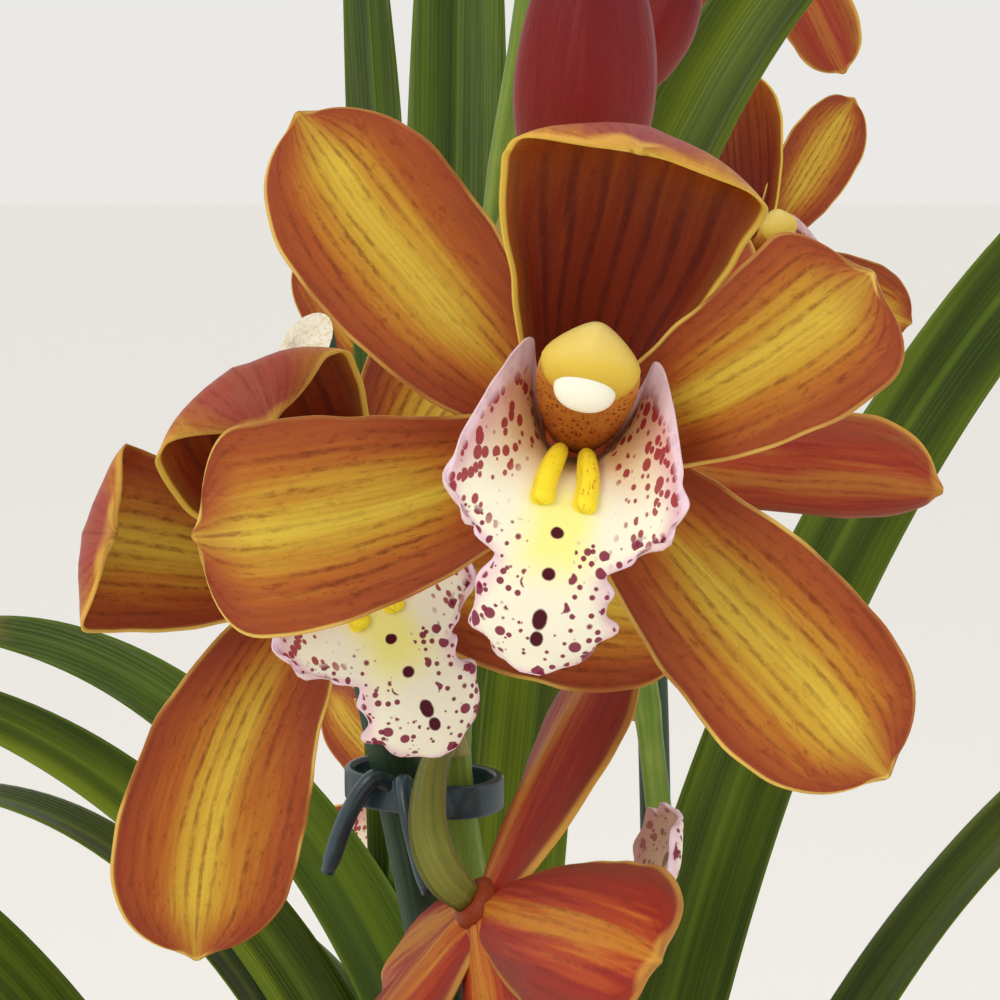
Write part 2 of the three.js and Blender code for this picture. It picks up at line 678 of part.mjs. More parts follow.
// The small pointed scale under a stalk.
function bractGeometry(bloom) {
  const from = spikeCurves[bloom.spike].getPoint(bloom.leaves);
  const out = vec(...bloom.at).sub(from).setZ(0).normalize();
  const side = out.clone().cross(UP);
  const root = from.clone().addScaledVector(UP, -0.4 * BRACT.length);
  const tip = from.clone().addScaledVector(out, 0.62 * BRACT.length);
  tip.addScaledVector(UP, 0.4 * BRACT.length);
  const along = tip.clone().sub(root).normalize();
  const rings = [
    [root, BRACT.width * 0.5, 1.6],
    [root.clone().lerp(tip, 0.55), BRACT.width * 0.46, 1.1],
    [tip, 0.6, 0.4],
  ];
  return body(rings, side, along.clone().cross(side), 4);
}

function addSpike(_, index) {
  const flowers = FLOWERS.filter((flower) => flower.spike === index);
  const buds = BUDS.filter((bud) => bud.spike === index);
  const stalks = [
    ...flowers.map((flower) => stalkGeometry(flower, FLOWER_BACK)),
    ...buds.map((bud) => stalkGeometry(bud, 0)),
  ];
  const bracts = [...flowers, ...buds].map(bractGeometry);
  const spike = fuse([rachisGeometry(index), ...stalks, ...bracts]);
  addMesh(plant, `spike_${index + 1}`, geometryOf(spike), STEM_SKIN);
}

const caneGeometry = ([bottom, top], grow = 0) =>
  tube([vec(...bottom), vec(...top)], [CANE.radius + grow, CANE.radius + grow], CANE.sides);

function addCane(cane, index) {
  addMesh(plant, `cane_${index + 1}`, caneGeometry(cane), CANE_SKIN);
}

// Where a spike and its cane are at a height.
function stemAt(spike, z) {
  const curve = spikeCurves[spike];
  const shares = Array.from({ length: 401 }, (_, i) => i / 400);
  const share = shares.find((candidate) => curve.getPoint(candidate).z >= z);
  return { middle: curve.getPoint(share), radius: rachisRadius(share) };
}

function caneAt(cane, z) {
  const [bottom, top] = CANES[cane].map((p) => vec(...p));
  return { middle: bottom.clone().lerp(top, (z - bottom.z) / (top.z - bottom.z)), radius: CANE.radius };
}

// The outline round two circles, as points in the plane they lie in.
function outlineRound(circles, grow) {
  const apart = circles[1].at.clone().sub(circles[0].at);
  const turn = Math.atan2(apart.y, apart.x);
  const tilt = Math.acos((circles[0].radius - circles[1].radius) / apart.length());
  const arc = (circle, from, to) =>
    Array.from({ length: 6 }, (_, i) => {
      const angle = lerp(from, to, i / 5);
      const reach = circle.radius + grow;
      return new THREE.Vector2(Math.cos(angle), Math.sin(angle)).multiplyScalar(reach).add(circle.at);
    });
  return [
    ...arc(circles[0], turn + tilt, turn + 2 * Math.PI - tilt),
    ...arc(circles[1], turn - tilt, turn + tilt),
  ];
}

// A clip is a ring round a stem and its cane, with two curved levers to squeeze it open, which stand
// out of its long side.
function addClip({ spike, z }, index) {
  const stem = stemAt(spike, z);
  const cane = caneAt(spike, z);
  const flat = ({ middle }) => new THREE.Vector2(middle.x, middle.y);
  const circles = [stem, cane].map((round) => ({ at: flat(round), radius: round.radius }));
  const ring = new THREE.Shape(outlineRound(circles, CLIP.clearance + CLIP.wall));
  ring.holes.push(new THREE.Path(outlineRound(circles, CLIP.clearance)));
  const geometry = new THREE.ExtrudeGeometry(ring, { depth: CLIP.height, bevelEnabled: false });
  geometry.translate(0, 0, z - CLIP.height / 2);
  const side = stem.middle.clone().sub(cane.middle).setZ(0).normalize();
  const out = side.clone().cross(UP);
  const reach = CLIP.clearance + (stem.radius + cane.radius) / 2;
  const levers = [-1, 1].map((hand) => {
    const point = (ahead, aside, up) =>
      stem.middle.clone().lerp(cane.middle, 0.5).addScaledVector(out, reach + ahead)
        .addScaledVector(side, hand * aside).setZ(z + up);
    const way = [point(0.8, 1.6, 1.6), point(3.4, 3, 2.6), point(5.5, 6, -3), point(6, 9.5, -12)];
    return tube(way, way.map(() => CLIP.leverRadius), 5);
  });
  addMesh(plant, `clip_${index + 1}`, geometryOf(fuse([geometry, ...levers])), CLIP_PLASTIC);
}

function addShoot(shoot, index) {
  const rows = shoot.leaves.map((leaf) => leafRows(shoot, leaf, LEAF_STATIONS));
  const leaves = rows.map((leaf) => blade(leaf, LEAF_THICKNESS));
  addMesh(plant, `shoot_${index + 1}`, geometryOf(fuse([bulbGeometry(shoot), ...leaves])), LEAF_SKIN);
}

const lathe = (profile, sides) =>
  new THREE.LatheGeometry(profile.map(([r, z]) => new THREE.Vector2(r, z)), sides).rotateX(Math.PI / 2);

// The inside of the pot widens evenly from its floor to its mouth.
const innerRadius = (z) =>
  lerp(POT.footRadius, POT.rimRadius - 4, (z - POT.floor) / (POT.height - POT.floor)) - POT.wall;

function addPot() {
  const band = POT.height - POT.rimHeight;
  const profile = [
    [0, 0],
    [POT.footRadius - 2, 0],
    [POT.footRadius, 2],
    [innerRadius(band) + POT.wall, band],
    [POT.rimRadius - 3, band + 2],
    [POT.rimRadius, POT.height - 3],
    [POT.rimRadius - 3, POT.height],
    [innerRadius(POT.height) + 1.5, POT.height],
    [innerRadius(POT.height - 2), POT.height - 2],
    [innerRadius(POT.floor), POT.floor],
    [0, POT.floor],
  ];
  const holes = Array.from({ length: DRAIN.count }, (_, i) => {
    const middle = polar((360 * i) / DRAIN.count, DRAIN.circle);
    const hole = new THREE.CylinderGeometry(DRAIN.radius, DRAIN.radius, 3 * POT.floor, DRAIN.sides);
    return hole.rotateX(Math.PI / 2).translate(middle.x, middle.y, POT.floor / 2);
  });
  addMesh(plant, "pot", geometryOf(drilled(solidOf(lathe(profile, POT.sides)), holes)), CLAY);
}

// Bark fills the pot, with loose chips on top and plain holes for the bulbs, stems and canes.
function addBark() {
  const bottom = POT.floor + GAP;
  const inside = (z) => innerRadius(z) * Math.cos(Math.PI / POT.sides) - GAP;
  const middle = 0.6;
  const profile = [
    [0, bottom],
    [inside(bottom), bottom],
    [inside(BARK.edge), BARK.edge],
    [inside(BARK.edge) * middle, lerp(BARK.edge, BARK.crown, 0.8)],
    [0, BARK.crown],
  ];
  const random = seeded(7);
  const chips = Array.from({ length: BARK.chips }, (_, i) => {
    const sides = [BARK.chipLength, BARK.chipWidth, BARK.chipThickness];
    const chip = new THREE.BoxGeometry(...sides.map((length) => length * lerp(0.7, 1.15, random())));
    chip.rotateX(lerp(-0.35, 0.35, random())).rotateY(lerp(-0.3, 0.3, random()));
    chip.rotateZ(Math.PI * random());
    const distance = (inside(BARK.edge) - BARK.chipLength * 0.75) * Math.sqrt((i + 0.5) / BARK.chips);
    const place = polar(137.5 * i, distance, BARK.crown - 0.5);
    place.z -= (BARK.crown - BARK.edge) * (distance / inside(BARK.edge)) ** 2;
    return chip.translate(place.x, place.y, place.z);
  });
  const holes = [
    ...SHOOTS.map((shoot) => bulbGeometry(shoot, GAP)),
    ...CANES.map((cane) => caneGeometry(cane, GAP)),
    ...SPIKES.map((_, spike) => rachisGeometry(spike, GAP)),
  ];
  const filling = fuse([lathe(profile, POT.sides), ...chips]);
  addMesh(plant, "bark", geometryOf(drilled(filling, holes)), BARK_SKIN);
}

addPot();
addBark();
SHOOTS.forEach(addShoot);
CANES.forEach(addCane);
SPIKES.forEach(addSpike);
CLIPS.forEach(addClip);
FLOWERS.forEach(addFlower);
BUDS.forEach(addBud);

export default plant;
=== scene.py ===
"""A potted cymbidium orchid in flower, dressed over its frame.

Shapes are worked out in millimetres, in the frame's axes, and scaled to metres as the meshes are made.
Each mesh carries three vectors per point for its material:
  pat   across from -1 to 1, along from 0 to 1, and the distance to the edge in millimetres
  look  choices of the material, such as front or back, how red, and whether a tepal's front is the hood's,
  darkened with painted shade spot  a place in millimetres for the small pattern
"""

import math
from collections import namedtuple

import bpy
import numpy as np
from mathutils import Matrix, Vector


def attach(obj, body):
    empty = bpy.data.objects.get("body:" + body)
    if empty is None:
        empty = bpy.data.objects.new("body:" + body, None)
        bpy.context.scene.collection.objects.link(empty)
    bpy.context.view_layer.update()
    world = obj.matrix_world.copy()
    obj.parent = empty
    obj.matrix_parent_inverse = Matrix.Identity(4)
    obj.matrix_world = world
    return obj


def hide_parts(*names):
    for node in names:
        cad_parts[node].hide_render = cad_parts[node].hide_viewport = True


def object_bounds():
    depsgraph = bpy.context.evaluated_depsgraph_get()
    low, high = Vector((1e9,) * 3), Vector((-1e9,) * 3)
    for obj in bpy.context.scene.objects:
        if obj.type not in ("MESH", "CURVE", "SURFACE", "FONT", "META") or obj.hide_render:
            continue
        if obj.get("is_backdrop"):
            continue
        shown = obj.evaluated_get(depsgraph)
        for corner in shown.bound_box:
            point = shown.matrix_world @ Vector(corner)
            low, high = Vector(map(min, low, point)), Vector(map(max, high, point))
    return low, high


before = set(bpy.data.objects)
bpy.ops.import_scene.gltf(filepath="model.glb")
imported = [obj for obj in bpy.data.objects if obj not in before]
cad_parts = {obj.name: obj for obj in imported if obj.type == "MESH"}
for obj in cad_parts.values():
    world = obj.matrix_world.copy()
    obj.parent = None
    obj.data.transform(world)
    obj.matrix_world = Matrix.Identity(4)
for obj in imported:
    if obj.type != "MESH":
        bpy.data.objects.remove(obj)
cad_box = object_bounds()

MM = 0.001
UP = np.array([0.0, 0.0, 1.0])


# Small helpers
def smooth(x, low, high):
    t = np.clip((x - low) / (high - low), 0, 1)
    return t * t * (3 - 2 * t)


def lerp(a, b, t):
    return a + (b - a) * t


def unit(v):
    return v / np.maximum(np.linalg.norm(v, axis=-1, keepdims=True), 1e-9)


def polar(heading, distance, z=0.0):
    turn = math.radians(heading)
    return np.array([math.sin(turn) * distance, -math.cos(turn) * distance, z])


def evenly(count):
    return np.linspace(0, 1, count)


def around(count):
    """Angles spaced evenly round a full turn."""
    return np.arange(count) * 2 * math.pi / count


def grid(*parts):
    """Points from their three coordinates, each stretched over the same rows and columns."""
    return np.stack(np.broadcast_arrays(*parts), -1)


def through(points, places):
    """Points on the even Catmull-Rom curve through points, at places from 0 to 1."""
    points = np.asarray(points, float)
    last = len(points) - 1
    padded = np.vstack([2 * points[0] - points[1], points, 2 * points[-1] - points[-2]])
    x = np.clip(np.asarray(places, float), 0, 1) * last
    i = np.minimum(x.astype(int), last - 1)
    t = (x - i)[..., None]
    a, b, c, d = padded[i], padded[i + 1], padded[i + 2], padded[i + 3]
    near, far = (c - a) / 2, (d - b) / 2
    return b + near * t + (3 * (c - b) - 2 * near - far) * t**2 + (2 * (b - c) + near + far) * t**3


def swelling(shape, shares):
    """The width at each share along a body, from its (share, width) pairs."""
    at = np.interp(shares, [share for share, _ in shape], evenly(len(shape)))
    return through([(width, 0, 0) for _, width in shape], at)[:, 0]


def walk(start, ahead, length, vs, steps):
    """Points along a line that leaves start and keeps turning to the direction ahead(share)."""
    middle = (np.arange(steps) + 0.5) / steps
    spine = np.vstack([start, start + np.cumsum(ahead(middle) * length / steps, axis=0)])
    places = evenly(steps + 1)
    return np.stack([np.interp(vs, places, spine[:, k]) for k in range(3)], -1)


def ripple(x, seed):
    """A smooth wandering number from -1 to 1."""
    waves = ((1.0, 1.0), (2.3, 0.6), (4.1, 0.35))
    total = sum(size * np.sin(rate * x + 5.1 * seed * rate + rate) for rate, size in waves)
    return total / sum(size for _, size in waves)


# Meshes
def link_mesh(name, points, faces):
    """A new object in the scene, from points in millimetres."""
    mesh = bpy.data.meshes.new(name)
    mesh.from_pydata((np.asarray(points, float).reshape(-1, 3) * MM).tolist(), [], faces)
    thing = bpy.data.objects.new(name, mesh)
    bpy.context.scene.collection.objects.link(thing)
    return thing


class Piece:
    """A mesh put together from parts, with the three vectors for its material."""

    def __init__(self, name):
        self.name, self.count = name, 0
        self.points, self.faces = [], []
        self.vectors = {"pat": [], "look": [], "spot": []}

    def add(self, points, faces, look=(0, 0, 0), pat=(0, 0, 9), spot=None):
        points = np.asarray(points, float).reshape(-1, 3)
        spot = points if spot is None else spot
        for key, value in (("pat", pat), ("look", look), ("spot", spot)):
            rows = np.asarray(value, float).reshape(-1, 3)
            self.vectors[key].append(np.broadcast_to(rows, points.shape))
        self.points.append(points)
        self.faces += [[int(i) + self.count for i in face] for face in faces]
        self.count += len(points)

    def loft(self, rings, *vectors, **more):
        self.add(rings, loft(rings), *vectors, **more)

    def build(self, material, node, matrix=np.eye(4), flat=False):
        points = np.vstack(self.points) @ matrix[:3, :3].T + matrix[:3, 3]
        thing = link_mesh(self.name, points, self.faces)
        mesh = thing.data
        for key, parts in self.vectors.items():
            layer = mesh.attributes.new(key, "FLOAT_VECTOR", "POINT")
            layer.data.foreach_set("vector", np.vstack(parts).astype(np.float32).ravel())
        mesh.polygons.foreach_set("use_smooth", [not flat] * len(self.faces))
        mesh.update()
        mesh.materials.append(material)
        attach(thing, "root")
        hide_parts(node)
        return thing


def bands(count, wide):
    """The point numbers of a stack of closed rings, and the faces between them."""
    index = np.arange(count * wide).reshape(count, wide)
    beside = np.roll(index, -1, axis=1)
    return index, np.stack([index[:-1], beside[:-1], beside[1:], index[1:]], -1).reshape(-1, 4)


def loft(rings, caps="fan"):
    """Faces between closed rings of points, turned to face out."""
    count, wide = rings.shape[:2]
    index, quads = bands(count, wide)
    faces = [tuple(int(i) for i in quad) for quad in quads]
    if caps == "fan":
        faces += [tuple(index[0][::-1]), tuple(index[-1])]
    if caps == "sheet":
        half = wide // 2
        for ring, turn in ((index[0], -1), (index[-1], 1)):
            for j in range(half - 1):
                quad = (ring[j], ring[j + 1], ring[wide - 2 - j], ring[wide - 1 - j])
                faces.append(quad[::turn])
    points = rings.reshape(-1, 3)
    a, b, c, d = ((points - points.mean(0))[quads[:, k]] for k in range(4))
    volume = np.einsum("ij,ij->", a, np.cross(b, c) + np.cross(c, d))
    return [face[::-1] for face in faces] if volume < 0 else faces


def turned(profile, sides):
    """Rings of a body turned on a lathe, from its (radius, height) pairs."""
    return np.array([[(r * math.cos(a), r * math.sin(a), z) for a in around(sides)] for r, z in profile])


def add_shell(piece, sheet, normals, thickness, vs, us, edge, spot, look, side=(1, 0)):
    """Closes a sheet of points into a thin blade, thinner towards its edges."""
    offset = normals * (thickness / 2 * (1 - 0.72 * np.abs(us) ** 6))[None, :, None]
    rings = np.concatenate([sheet + offset, (sheet - offset)[:, ::-1]], axis=1)
    looks = np.broadcast_to(grid(np.repeat(side, len(us))[None, :], *look), rings.shape)
    pat = grid(us[None, :], vs[:, None], edge)
    pat, spot = (np.concatenate([values, values[:, ::-1]], axis=1) for values in (pat, spot))
    piece.add(rings, loft(rings, "sheet"), looks, pat, spot)


def circle_rings(points, radii, sides, ribs=0, depth=0.0):
    """Rings of a tube through points, with frames carried along it."""
    points = np.asarray(points, float)
    tangents = unit(np.gradient(points, axis=0))
    side = unit(np.cross(tangents[0], [0.31, 0.74, 0.6]))
    turn = around(sides)
    shape = 1 + depth * np.cos(ribs * turn)
    rings = []
    for point, tangent, radius in zip(points, tangents, np.broadcast_to(radii, len(points))):
        side = unit(side - tangent * side.dot(tangent))
        other = np.cross(tangent, side)
        ring = np.outer(np.cos(turn) * shape, side) + np.outer(np.sin(turn) * shape, other)
        rings.append(point + radius * ring)
    return np.array(rings)


def add_tube(piece, points, radii, sides=14, look=(0, 0, 0), spot=True, **shape):
    rings = circle_rings(points, radii, sides, **shape)
    steps = np.linalg.norm(np.diff(points, axis=0), axis=1)
    reach = np.concatenate([[0], np.cumsum(steps)])[:, None]
    turn = (np.arange(sides) / sides)[None, :]
    pat = grid(turn * 2 - 1, reach / reach[-1], 9.0)
    piece.loft(rings, look, pat, grid(turn * 20, reach, float(piece.count % 97)) if spot else None)


# Materials are sums of a few patterns, written as ordinary arithmetic on node outputs
def operator(name):
    return lambda *values: values[0].graph.math(name, *values)


class Out:
    """The output of a node."""

    __add__ = __radd__ = operator("ADD")
    __mul__ = __rmul__ = operator("MULTIPLY")
    __sub__, __truediv__ = operator("SUBTRACT"), operator("DIVIDE")
    __abs__, cos, top = operator("ABSOLUTE"), operator("COSINE"), operator("MAXIMUM")

    def __init__(self, graph, socket):
        self.graph, self.socket = graph, socket

    def __rsub__(self, other):
        return self.graph.math("SUBTRACT", other, self)

    def waves(self, count):
        """A wave that comes count times for each 1 of the value."""
        return (self * (count * 2 * math.pi)).cos()

    def step(self, low, high):
        """0 below low and 1 above high, with a smooth turn between, or the other way round."""
        values = {"Value": self, "From Min": low, "From Max": high}
        return Out(self.graph, self.graph.node("MapRange", values, interpolation_type="SMOOTHSTEP").outputs[0])


def rgb(code):
    """A colour written as six hexadecimal digits, as linear light."""
    parts = [int(code[i : i + 2], 16) / 255 for i in (0, 2, 4)]
    return tuple(p / 12.92 if p < 0.04045 else ((p + 0.055) / 1.055) ** 2.4 for p in parts) + (1.0,)


class Graph:
    def __init__(self, name):
        self.material = bpy.data.materials.new(name)
        self.material.use_nodes = True
        self.tree = self.material.node_tree
        self.tree.nodes.clear()

    def node(self, kind, values=None, **settings):
        node = self.tree.nodes.new("ShaderNode" + kind)
        for key, value in settings.items():
            setattr(node, key, value)
        for key, value in (values or {}).items():
            if isinstance(value, Out):
                self.tree.links.new(value.socket, node.inputs[key])
            else:
                node.inputs[key].default_value = rgb(value) if isinstance(value, str) else value
        return node

    def math(self, operation, *values):
        return Out(self, self.node("Math", dict(enumerate(values)), operation=operation).outputs[0])

    def attribute(self, name):
        node = self.node("Attribute", attribute_name=name)
        apart = self.node("SeparateXYZ", {0: Out(self, node.outputs["Vector"])})
        return [Out(self, socket) for socket in apart.outputs]

    def vector(self, *places):
        return Out(self, self.node("CombineXYZ", dict(enumerate(places))).outputs[0])

    def noise(self, x, y, z, detail=2, roughness=0.5, scale=1.0):
        values = {"Vector": self.vector(x, y, z), "Scale": scale, "Detail": detail, "Roughness": roughness}
        return Out(self, self.node("TexNoise", values).outputs[0])

    def cells(self, x, y, z, scale=1.0):
        """The distance to the nearest of many scattered points, and that point's own number."""
        node = self.node("TexVoronoi", {"Vector": self.vector(x, y, z), "Scale": scale})
        colour = self.node("SeparateColor", {0: Out(self, node.outputs["Color"])})
        return Out(self, node.outputs["Distance"]), Out(self, colour.outputs[0])

    def ramp(self, factor, stops):
        node = self.node("ValToRGB", {0: factor})
        elements = node.color_ramp.elements
        while len(elements) < len(stops):
            elements.new(0.5)
        for element, (place, colour) in zip(elements, stops.items()):
            element.position, element.color = place, rgb(colour)
        return Out(self, node.outputs[0])

    def mix(self, factor, a, b):
        return Out(self, self.node("Mix", {0: factor, 6: a, 7: b}, data_type="RGBA").outputs[2])

    def paint(self, colour, *layers):
        for factor, code in layers:
            colour = self.mix(factor, colour, code)
        return colour

    def shade(self, colour, roughness, bump=None, depth=0.2, **sockets):
        """Ends the graph. depth is how high the bump is, in millimetres."""
        shader = self.node("BsdfPrincipled", {"Base Color": colour, "Roughness": roughness, **sockets})
        if bump is not None:
            lifted = self.node("Bump", {"Height": bump, "Distance": depth * MM, "Strength": 1.0})
            self.tree.links.new(lifted.outputs[0], shader.inputs["Normal"])
        self.tree.links.new(shader.outputs[0], self.node("OutputMaterial").inputs[0])
        return self.material


def skin(paint):
    """The material that a function paints from the vectors spot, look and pat."""
    g = Graph(paint.__name__)
    return paint(g, *(part for name in ("spot", "look", "pat") for part in g.attribute(name)))


WAXY = {"Specular IOR Level": 0.16}
LIVING = {
    "Subsurface Weight": 0.12,
    "Subsurface Radius": (1.0, 0.35, 0.12),
    "Subsurface Scale": 0.0015,
    **WAXY,
}


@skin
def petal_skin(g, x, y, seed, side, red, hood_with_painted_shade, u, v, edge):
    drift = g.noise(x * 0.11, y * 0.035, seed) - 0.5
    streak = g.noise(x * 0.8, y * 0.035, seed + 5, detail=3) - 0.5
    grain = g.noise(x * 2.4, y * 1.5, seed, detail=4, roughness=0.7)
    pepper = g.noise(x * 1.5, y * 0.55, seed + 3, detail=4, roughness=0.75)
    patchy = g.noise(u * 3.5, y * 0.07, seed + 7, detail=3)
    across = abs(u + drift * 0.35)
    bent = u + drift * 0.22
    lines = bent.waves(6.3)
    finer = bent.waves(15)
    vein = lines.step(0, 1) * patchy.step(0.32, 0.60) * (pepper.step(0.38, 0.58) * 0.75 + 0.25)
    specks = pepper.step(0.54, 0.68)
    rim = g.noise(u * 1.3, y * 0.06, seed + 11).step(0.36, 0.62)

    # The gold front of a petal
    tone = across + streak * 0.6 + v.step(0.46, 0.02) * 0.6 + v.step(0.86, 1.02) * 0.25
    gold = g.paint(
        g.ramp(tone, {0: "D2B23E", 0.24: "C49A30", 0.44: "B87826", 0.66: "A85820", 1: "92401A"}),
        (specks * (across.step(0.1, 0.9) * 0.6 + 0.26), "84300E"),
        (vein * (0.58 + across.step(0, 0.6) * 0.15), "74340E"),
        (finer.step(0.2, 1) * patchy.step(0.55, 0.4) * 0.14, "884012"),
        (edge.step(5.5, 1.2) * 0.28, "92402A"),
        (edge.step(0.5, 0.2) * (rim * 0.75 + 0.1), "E4C460"),
    )

    # The striped front of a hood, with painted shade: darkened all over, and most towards its foot, where the
    # inside of the hood lies in shade
    broad = (u * 4.6 + drift * 1.3).waves(1).step(0.1, 1) * (pepper.step(0.3, 0.6) * 0.5 + 0.5)
    stripes_and_painted_shade = g.paint(
        g.ramp(v + streak * 0.6, {0: "661800", 0.5: "762402", 1: "9C4C0E"}),
        (broad * v.step(1, 0.5) * (patchy.step(0.25, 0.55) * 0.4 + 0.35), "4C0E00"),
        (specks * 0.35, "5E1604"),
        (edge.step(3, 0.8) * 0.3, "BE7424"),
        (edge.step(0.9, 0.4) * 0.92, "E6C650"),
    )

    # The red front of a younger flower
    warm = g.paint(
        g.ramp(tone, {0: "CE8A26", 0.25: "BE561C", 0.5: "A63014", 0.8: "8C1C10", 1: "7E1614"}),
        (vein * 0.5, "6A100A"),
        (specks * 0.3, "701410"),
        (edge.step(0.8, 0.35) * (rim * 0.4 + 0.5), "E2B24C"),
    )
    # On the hood the front takes the striped colour darkened with painted shade
    front = g.mix(hood_with_painted_shade, g.mix(red, gold, warm), stripes_and_painted_shade)

    # The back, with a pink middle and a gold margin, or red with orange streaks on a younger flower
    back = g.ramp(across + streak * 0.5, {0: "94403C", 0.45: "9E4A38", 0.75: "B26C30", 1: "C8923A"})
    young = g.ramp(across + streak * 1.1, {0.05: "CC8426", 0.25: "B84C1A", 0.5: "981F14", 0.9: "7C1624"})
    back = g.paint(
        g.mix(red, back, young),
        (vein * 0.4, "741E18"),
        (specks * 0.25, "78261E"),
        (edge.step(1.3, 0.4) * (rim * 0.4 + 0.4), "DCAC4A"),
    )
    colour = g.mix(side, back, front)

    ridges = lines * 0.14 + finer * 0.05 + grain * 0.8
    return g.shade(colour, 0.42, ridges, 0.12, **LIVING)


@skin
def lip_skin(g, x, y, z, side, ridge, _, u, v, edge):
    soft = g.noise(x * 0.35, y * 0.35, z * 0.35, detail=3) - 0.5
    wide = abs(x) + soft * 2.5
    colour = g.mix(edge.step(3.5, 0.6) * 0.6, "F1EBD4", "E2AEC6")
    disc = wide.step(6, 1.5) * y.step(-18.5, -12) * y.step(-4, -8)
    colour = g.mix(disc * 0.9, colour, "F3EC84")
    lobe = abs(u).step(0.26, 0.44) * v.step(0.64, 0.50) * v.step(0.04, 0.14)
    colour = g.mix(v.step(0.48, 0.2) * (lobe * 0.35 + 0.5), colour, "D29A54")

    # Crimson dashes on the side lobes, and round spots on the tongue
    far, own = g.cells(x * 1.05, y * 0.62, z * 0.8)
    reach = own.step(0.1, 1) * 0.28 + lobe * 0.18 + abs(u).step(0.4, 0.9) * 0.14
    dash = (far - reach).step(0.05, -0.04) * lobe
    colour = g.mix(lobe * abs(u).step(0.6, 0.97) * 0.4, colour, "D08A98")
    colour = g.mix(dash * 0.92, colour, "981426")
    tongue = v.step(0.50, 0.53) * (wide.step(1.6, 3.6) + y.step(-18, -20.5)).step(0.45, 0.55)
    tongue = tongue * edge.step(0.5, 0.9)
    near = edge.step(4.5, 1)
    for scale, apart, deep in ((0.62, 3.7, 0.46), (0.95, 9.1, 0.36)):
        far, own = g.cells(x + apart, y, z, scale)
        reach = own.step(0.1, 1) * deep + near * 0.12 - 0.02
        dot = (far - reach).step(0.06, -0.04) * tongue
        colour = g.mix(dot * 0.95, colour, "7E0A38")
    for place, high, broad in ((-10.7, 0.6, 0.7), (-15.2, 0.68, 0.75), (-20.2, 1.1, 0.75), (-22.4, 0.8, 0.7)):
        apart = x * x / (broad * broad) + (y - place) * (y - place) / (high * high)
        colour = g.mix((apart + soft * 1.6).step(1.5, 0.8), colour, "4A0618")
    colour = g.mix(edge.step(0.9, 0.25) * 0.8, colour, "EFD8E8")
    colour = g.mix((1 - side) * 0.45, colour, "E0BCA0")
    fleck = g.noise(x, y, z, scale=1.1).step(0.62, 0.70) * 0.8
    colour = g.mix(ridge, colour, g.mix(fleck, "FADF32", "D0801E"))
    return g.shade(colour, 0.42, soft, 0.25, **LIVING)


@skin
def column_skin(g, x, y, z, cap, anther, under, *_):
    soft = g.noise(x * 0.4, y * 0.4, z * 0.4, detail=3)
    fine = g.noise(x * 1.8, y * 1.8, z * 1.8, detail=4, roughness=0.7)
    colour = g.ramp(soft, {0.3: "C9A83E", 0.6: "D08A34", 0.8: "A84E22"})
    yellow = g.ramp(y * 0.07 + soft * 0.2, {0.42: "CC9C28", 0.66: "DDBC48", 1: "E8D07C"})
    colour = g.mix(cap, colour, yellow)
    brown = g.ramp(z * 0.05 + soft * 0.3, {0.3: "6E2608", 0.7: "A55A20", 1: "C07A30"})
    far, own = g.cells(x, y, z, 1.9)
    dots = (far - own * 0.45).step(0.1, -0.05)
    speckled = g.mix(dots * 0.75, g.mix(fine.step(0.5, 0.7) * 0.5, brown, "86330E"), "5E140A")
    colour = g.mix(under, colour, speckled)
    colour = g.mix(anther, colour, g.mix(soft * 0.4, "F8F3E2", "EFE2BC"))
    return g.shade(colour, 0.34, fine, 0.08, **LIVING)


@skin
def bud_skin(g, x, y, seed, *rest):
    v = rest[4]
    streak = g.noise(x * 0.6, y * 0.06, seed, detail=3)
    fine = g.noise(x * 2, y * 0.8, seed, detail=3)
    colour = g.ramp(v * 0.8 + streak * 0.4, {0.12: "7A5A22", 0.28: "82301F", 0.55: "7E201F", 0.9: "641218"})
    colour = g.mix(streak.step(0.5, 0.72) * 0.4, colour, "983430")
    colour = g.mix(fine.step(0.6, 0.75) * 0.3, colour, "500E14")
    return g.shade(colour, 0.42, fine + streak, 0.12, **WAXY)


@skin
def stem_skin(g, x, y, seed, blush, papery, *_):
    streak = g.noise(x * 0.7, y * 0.03, seed, detail=3)
    blotch = g.noise(x * 0.15, y * 0.12, seed)
    fine = g.noise(x * 2, y * 0.6, seed, detail=3)
    colour = g.ramp(streak + blotch * 0.4 - 0.2, {0.2: "55702A", 0.5: "6F8A34", 0.8: "93A045"})
    colour = g.mix(blush * (0.35 + streak * 0.8), colour, "9A5A3C")
    colour = g.mix(papery * 0.8, colour, g.ramp(streak, {0.3: "C9BE86", 0.7: "8F8450"}))
    return g.shade(colour, 0.45, fine + streak, 0.2, **WAXY)


@skin
def leaf_skin(g, x, y, seed, side, blue, dry, u, v, edge):
    bands = g.noise(x * 0.25, y * 0.004, seed, detail=3)
    patch = g.noise(x * 0.05, y * 0.02, seed)
    veins = (x + bands * 2.5).waves(1)
    fine = g.noise(x * 3, y * 0.05, seed)
    broken = g.noise(x * 0.5, y * 0.02, seed + 4)
    tone = bands * 0.9 + patch * 0.5 - 0.2
    colour = g.ramp(tone, {0.25: "263200", 0.42: "374400", 0.56: "4A5804", 0.74: "637210"})
    colour = g.paint(
        g.mix(blue * 0.6, colour, g.ramp(tone, {0.3: "1E380A", 0.6: "304E14"})),
        (abs(u).step(0.14, 0) * 0.25, "6E8826"),
        ((1 - side) * 0.4, "5C7A24"),
        (veins.step(0, 1) * broken.step(0.35, 0.65) * 0.10, "728E28"),
        (edge.step(0.9, 0.2) * 0.25, "7A9430"),
    )
    tip = v.step(0.955, 1) * g.noise(x * 0.6, y * 0.2, seed).step(0.3, 0.6)
    colour = g.mix(tip.top(dry * 0.9), colour, g.ramp(fine, {0.3: "8A6B3A", 0.7: "B89A62"}))
    return g.shade(colour, 0.36, veins * 0.3 + fine * 0.6, 0.12, **WAXY)


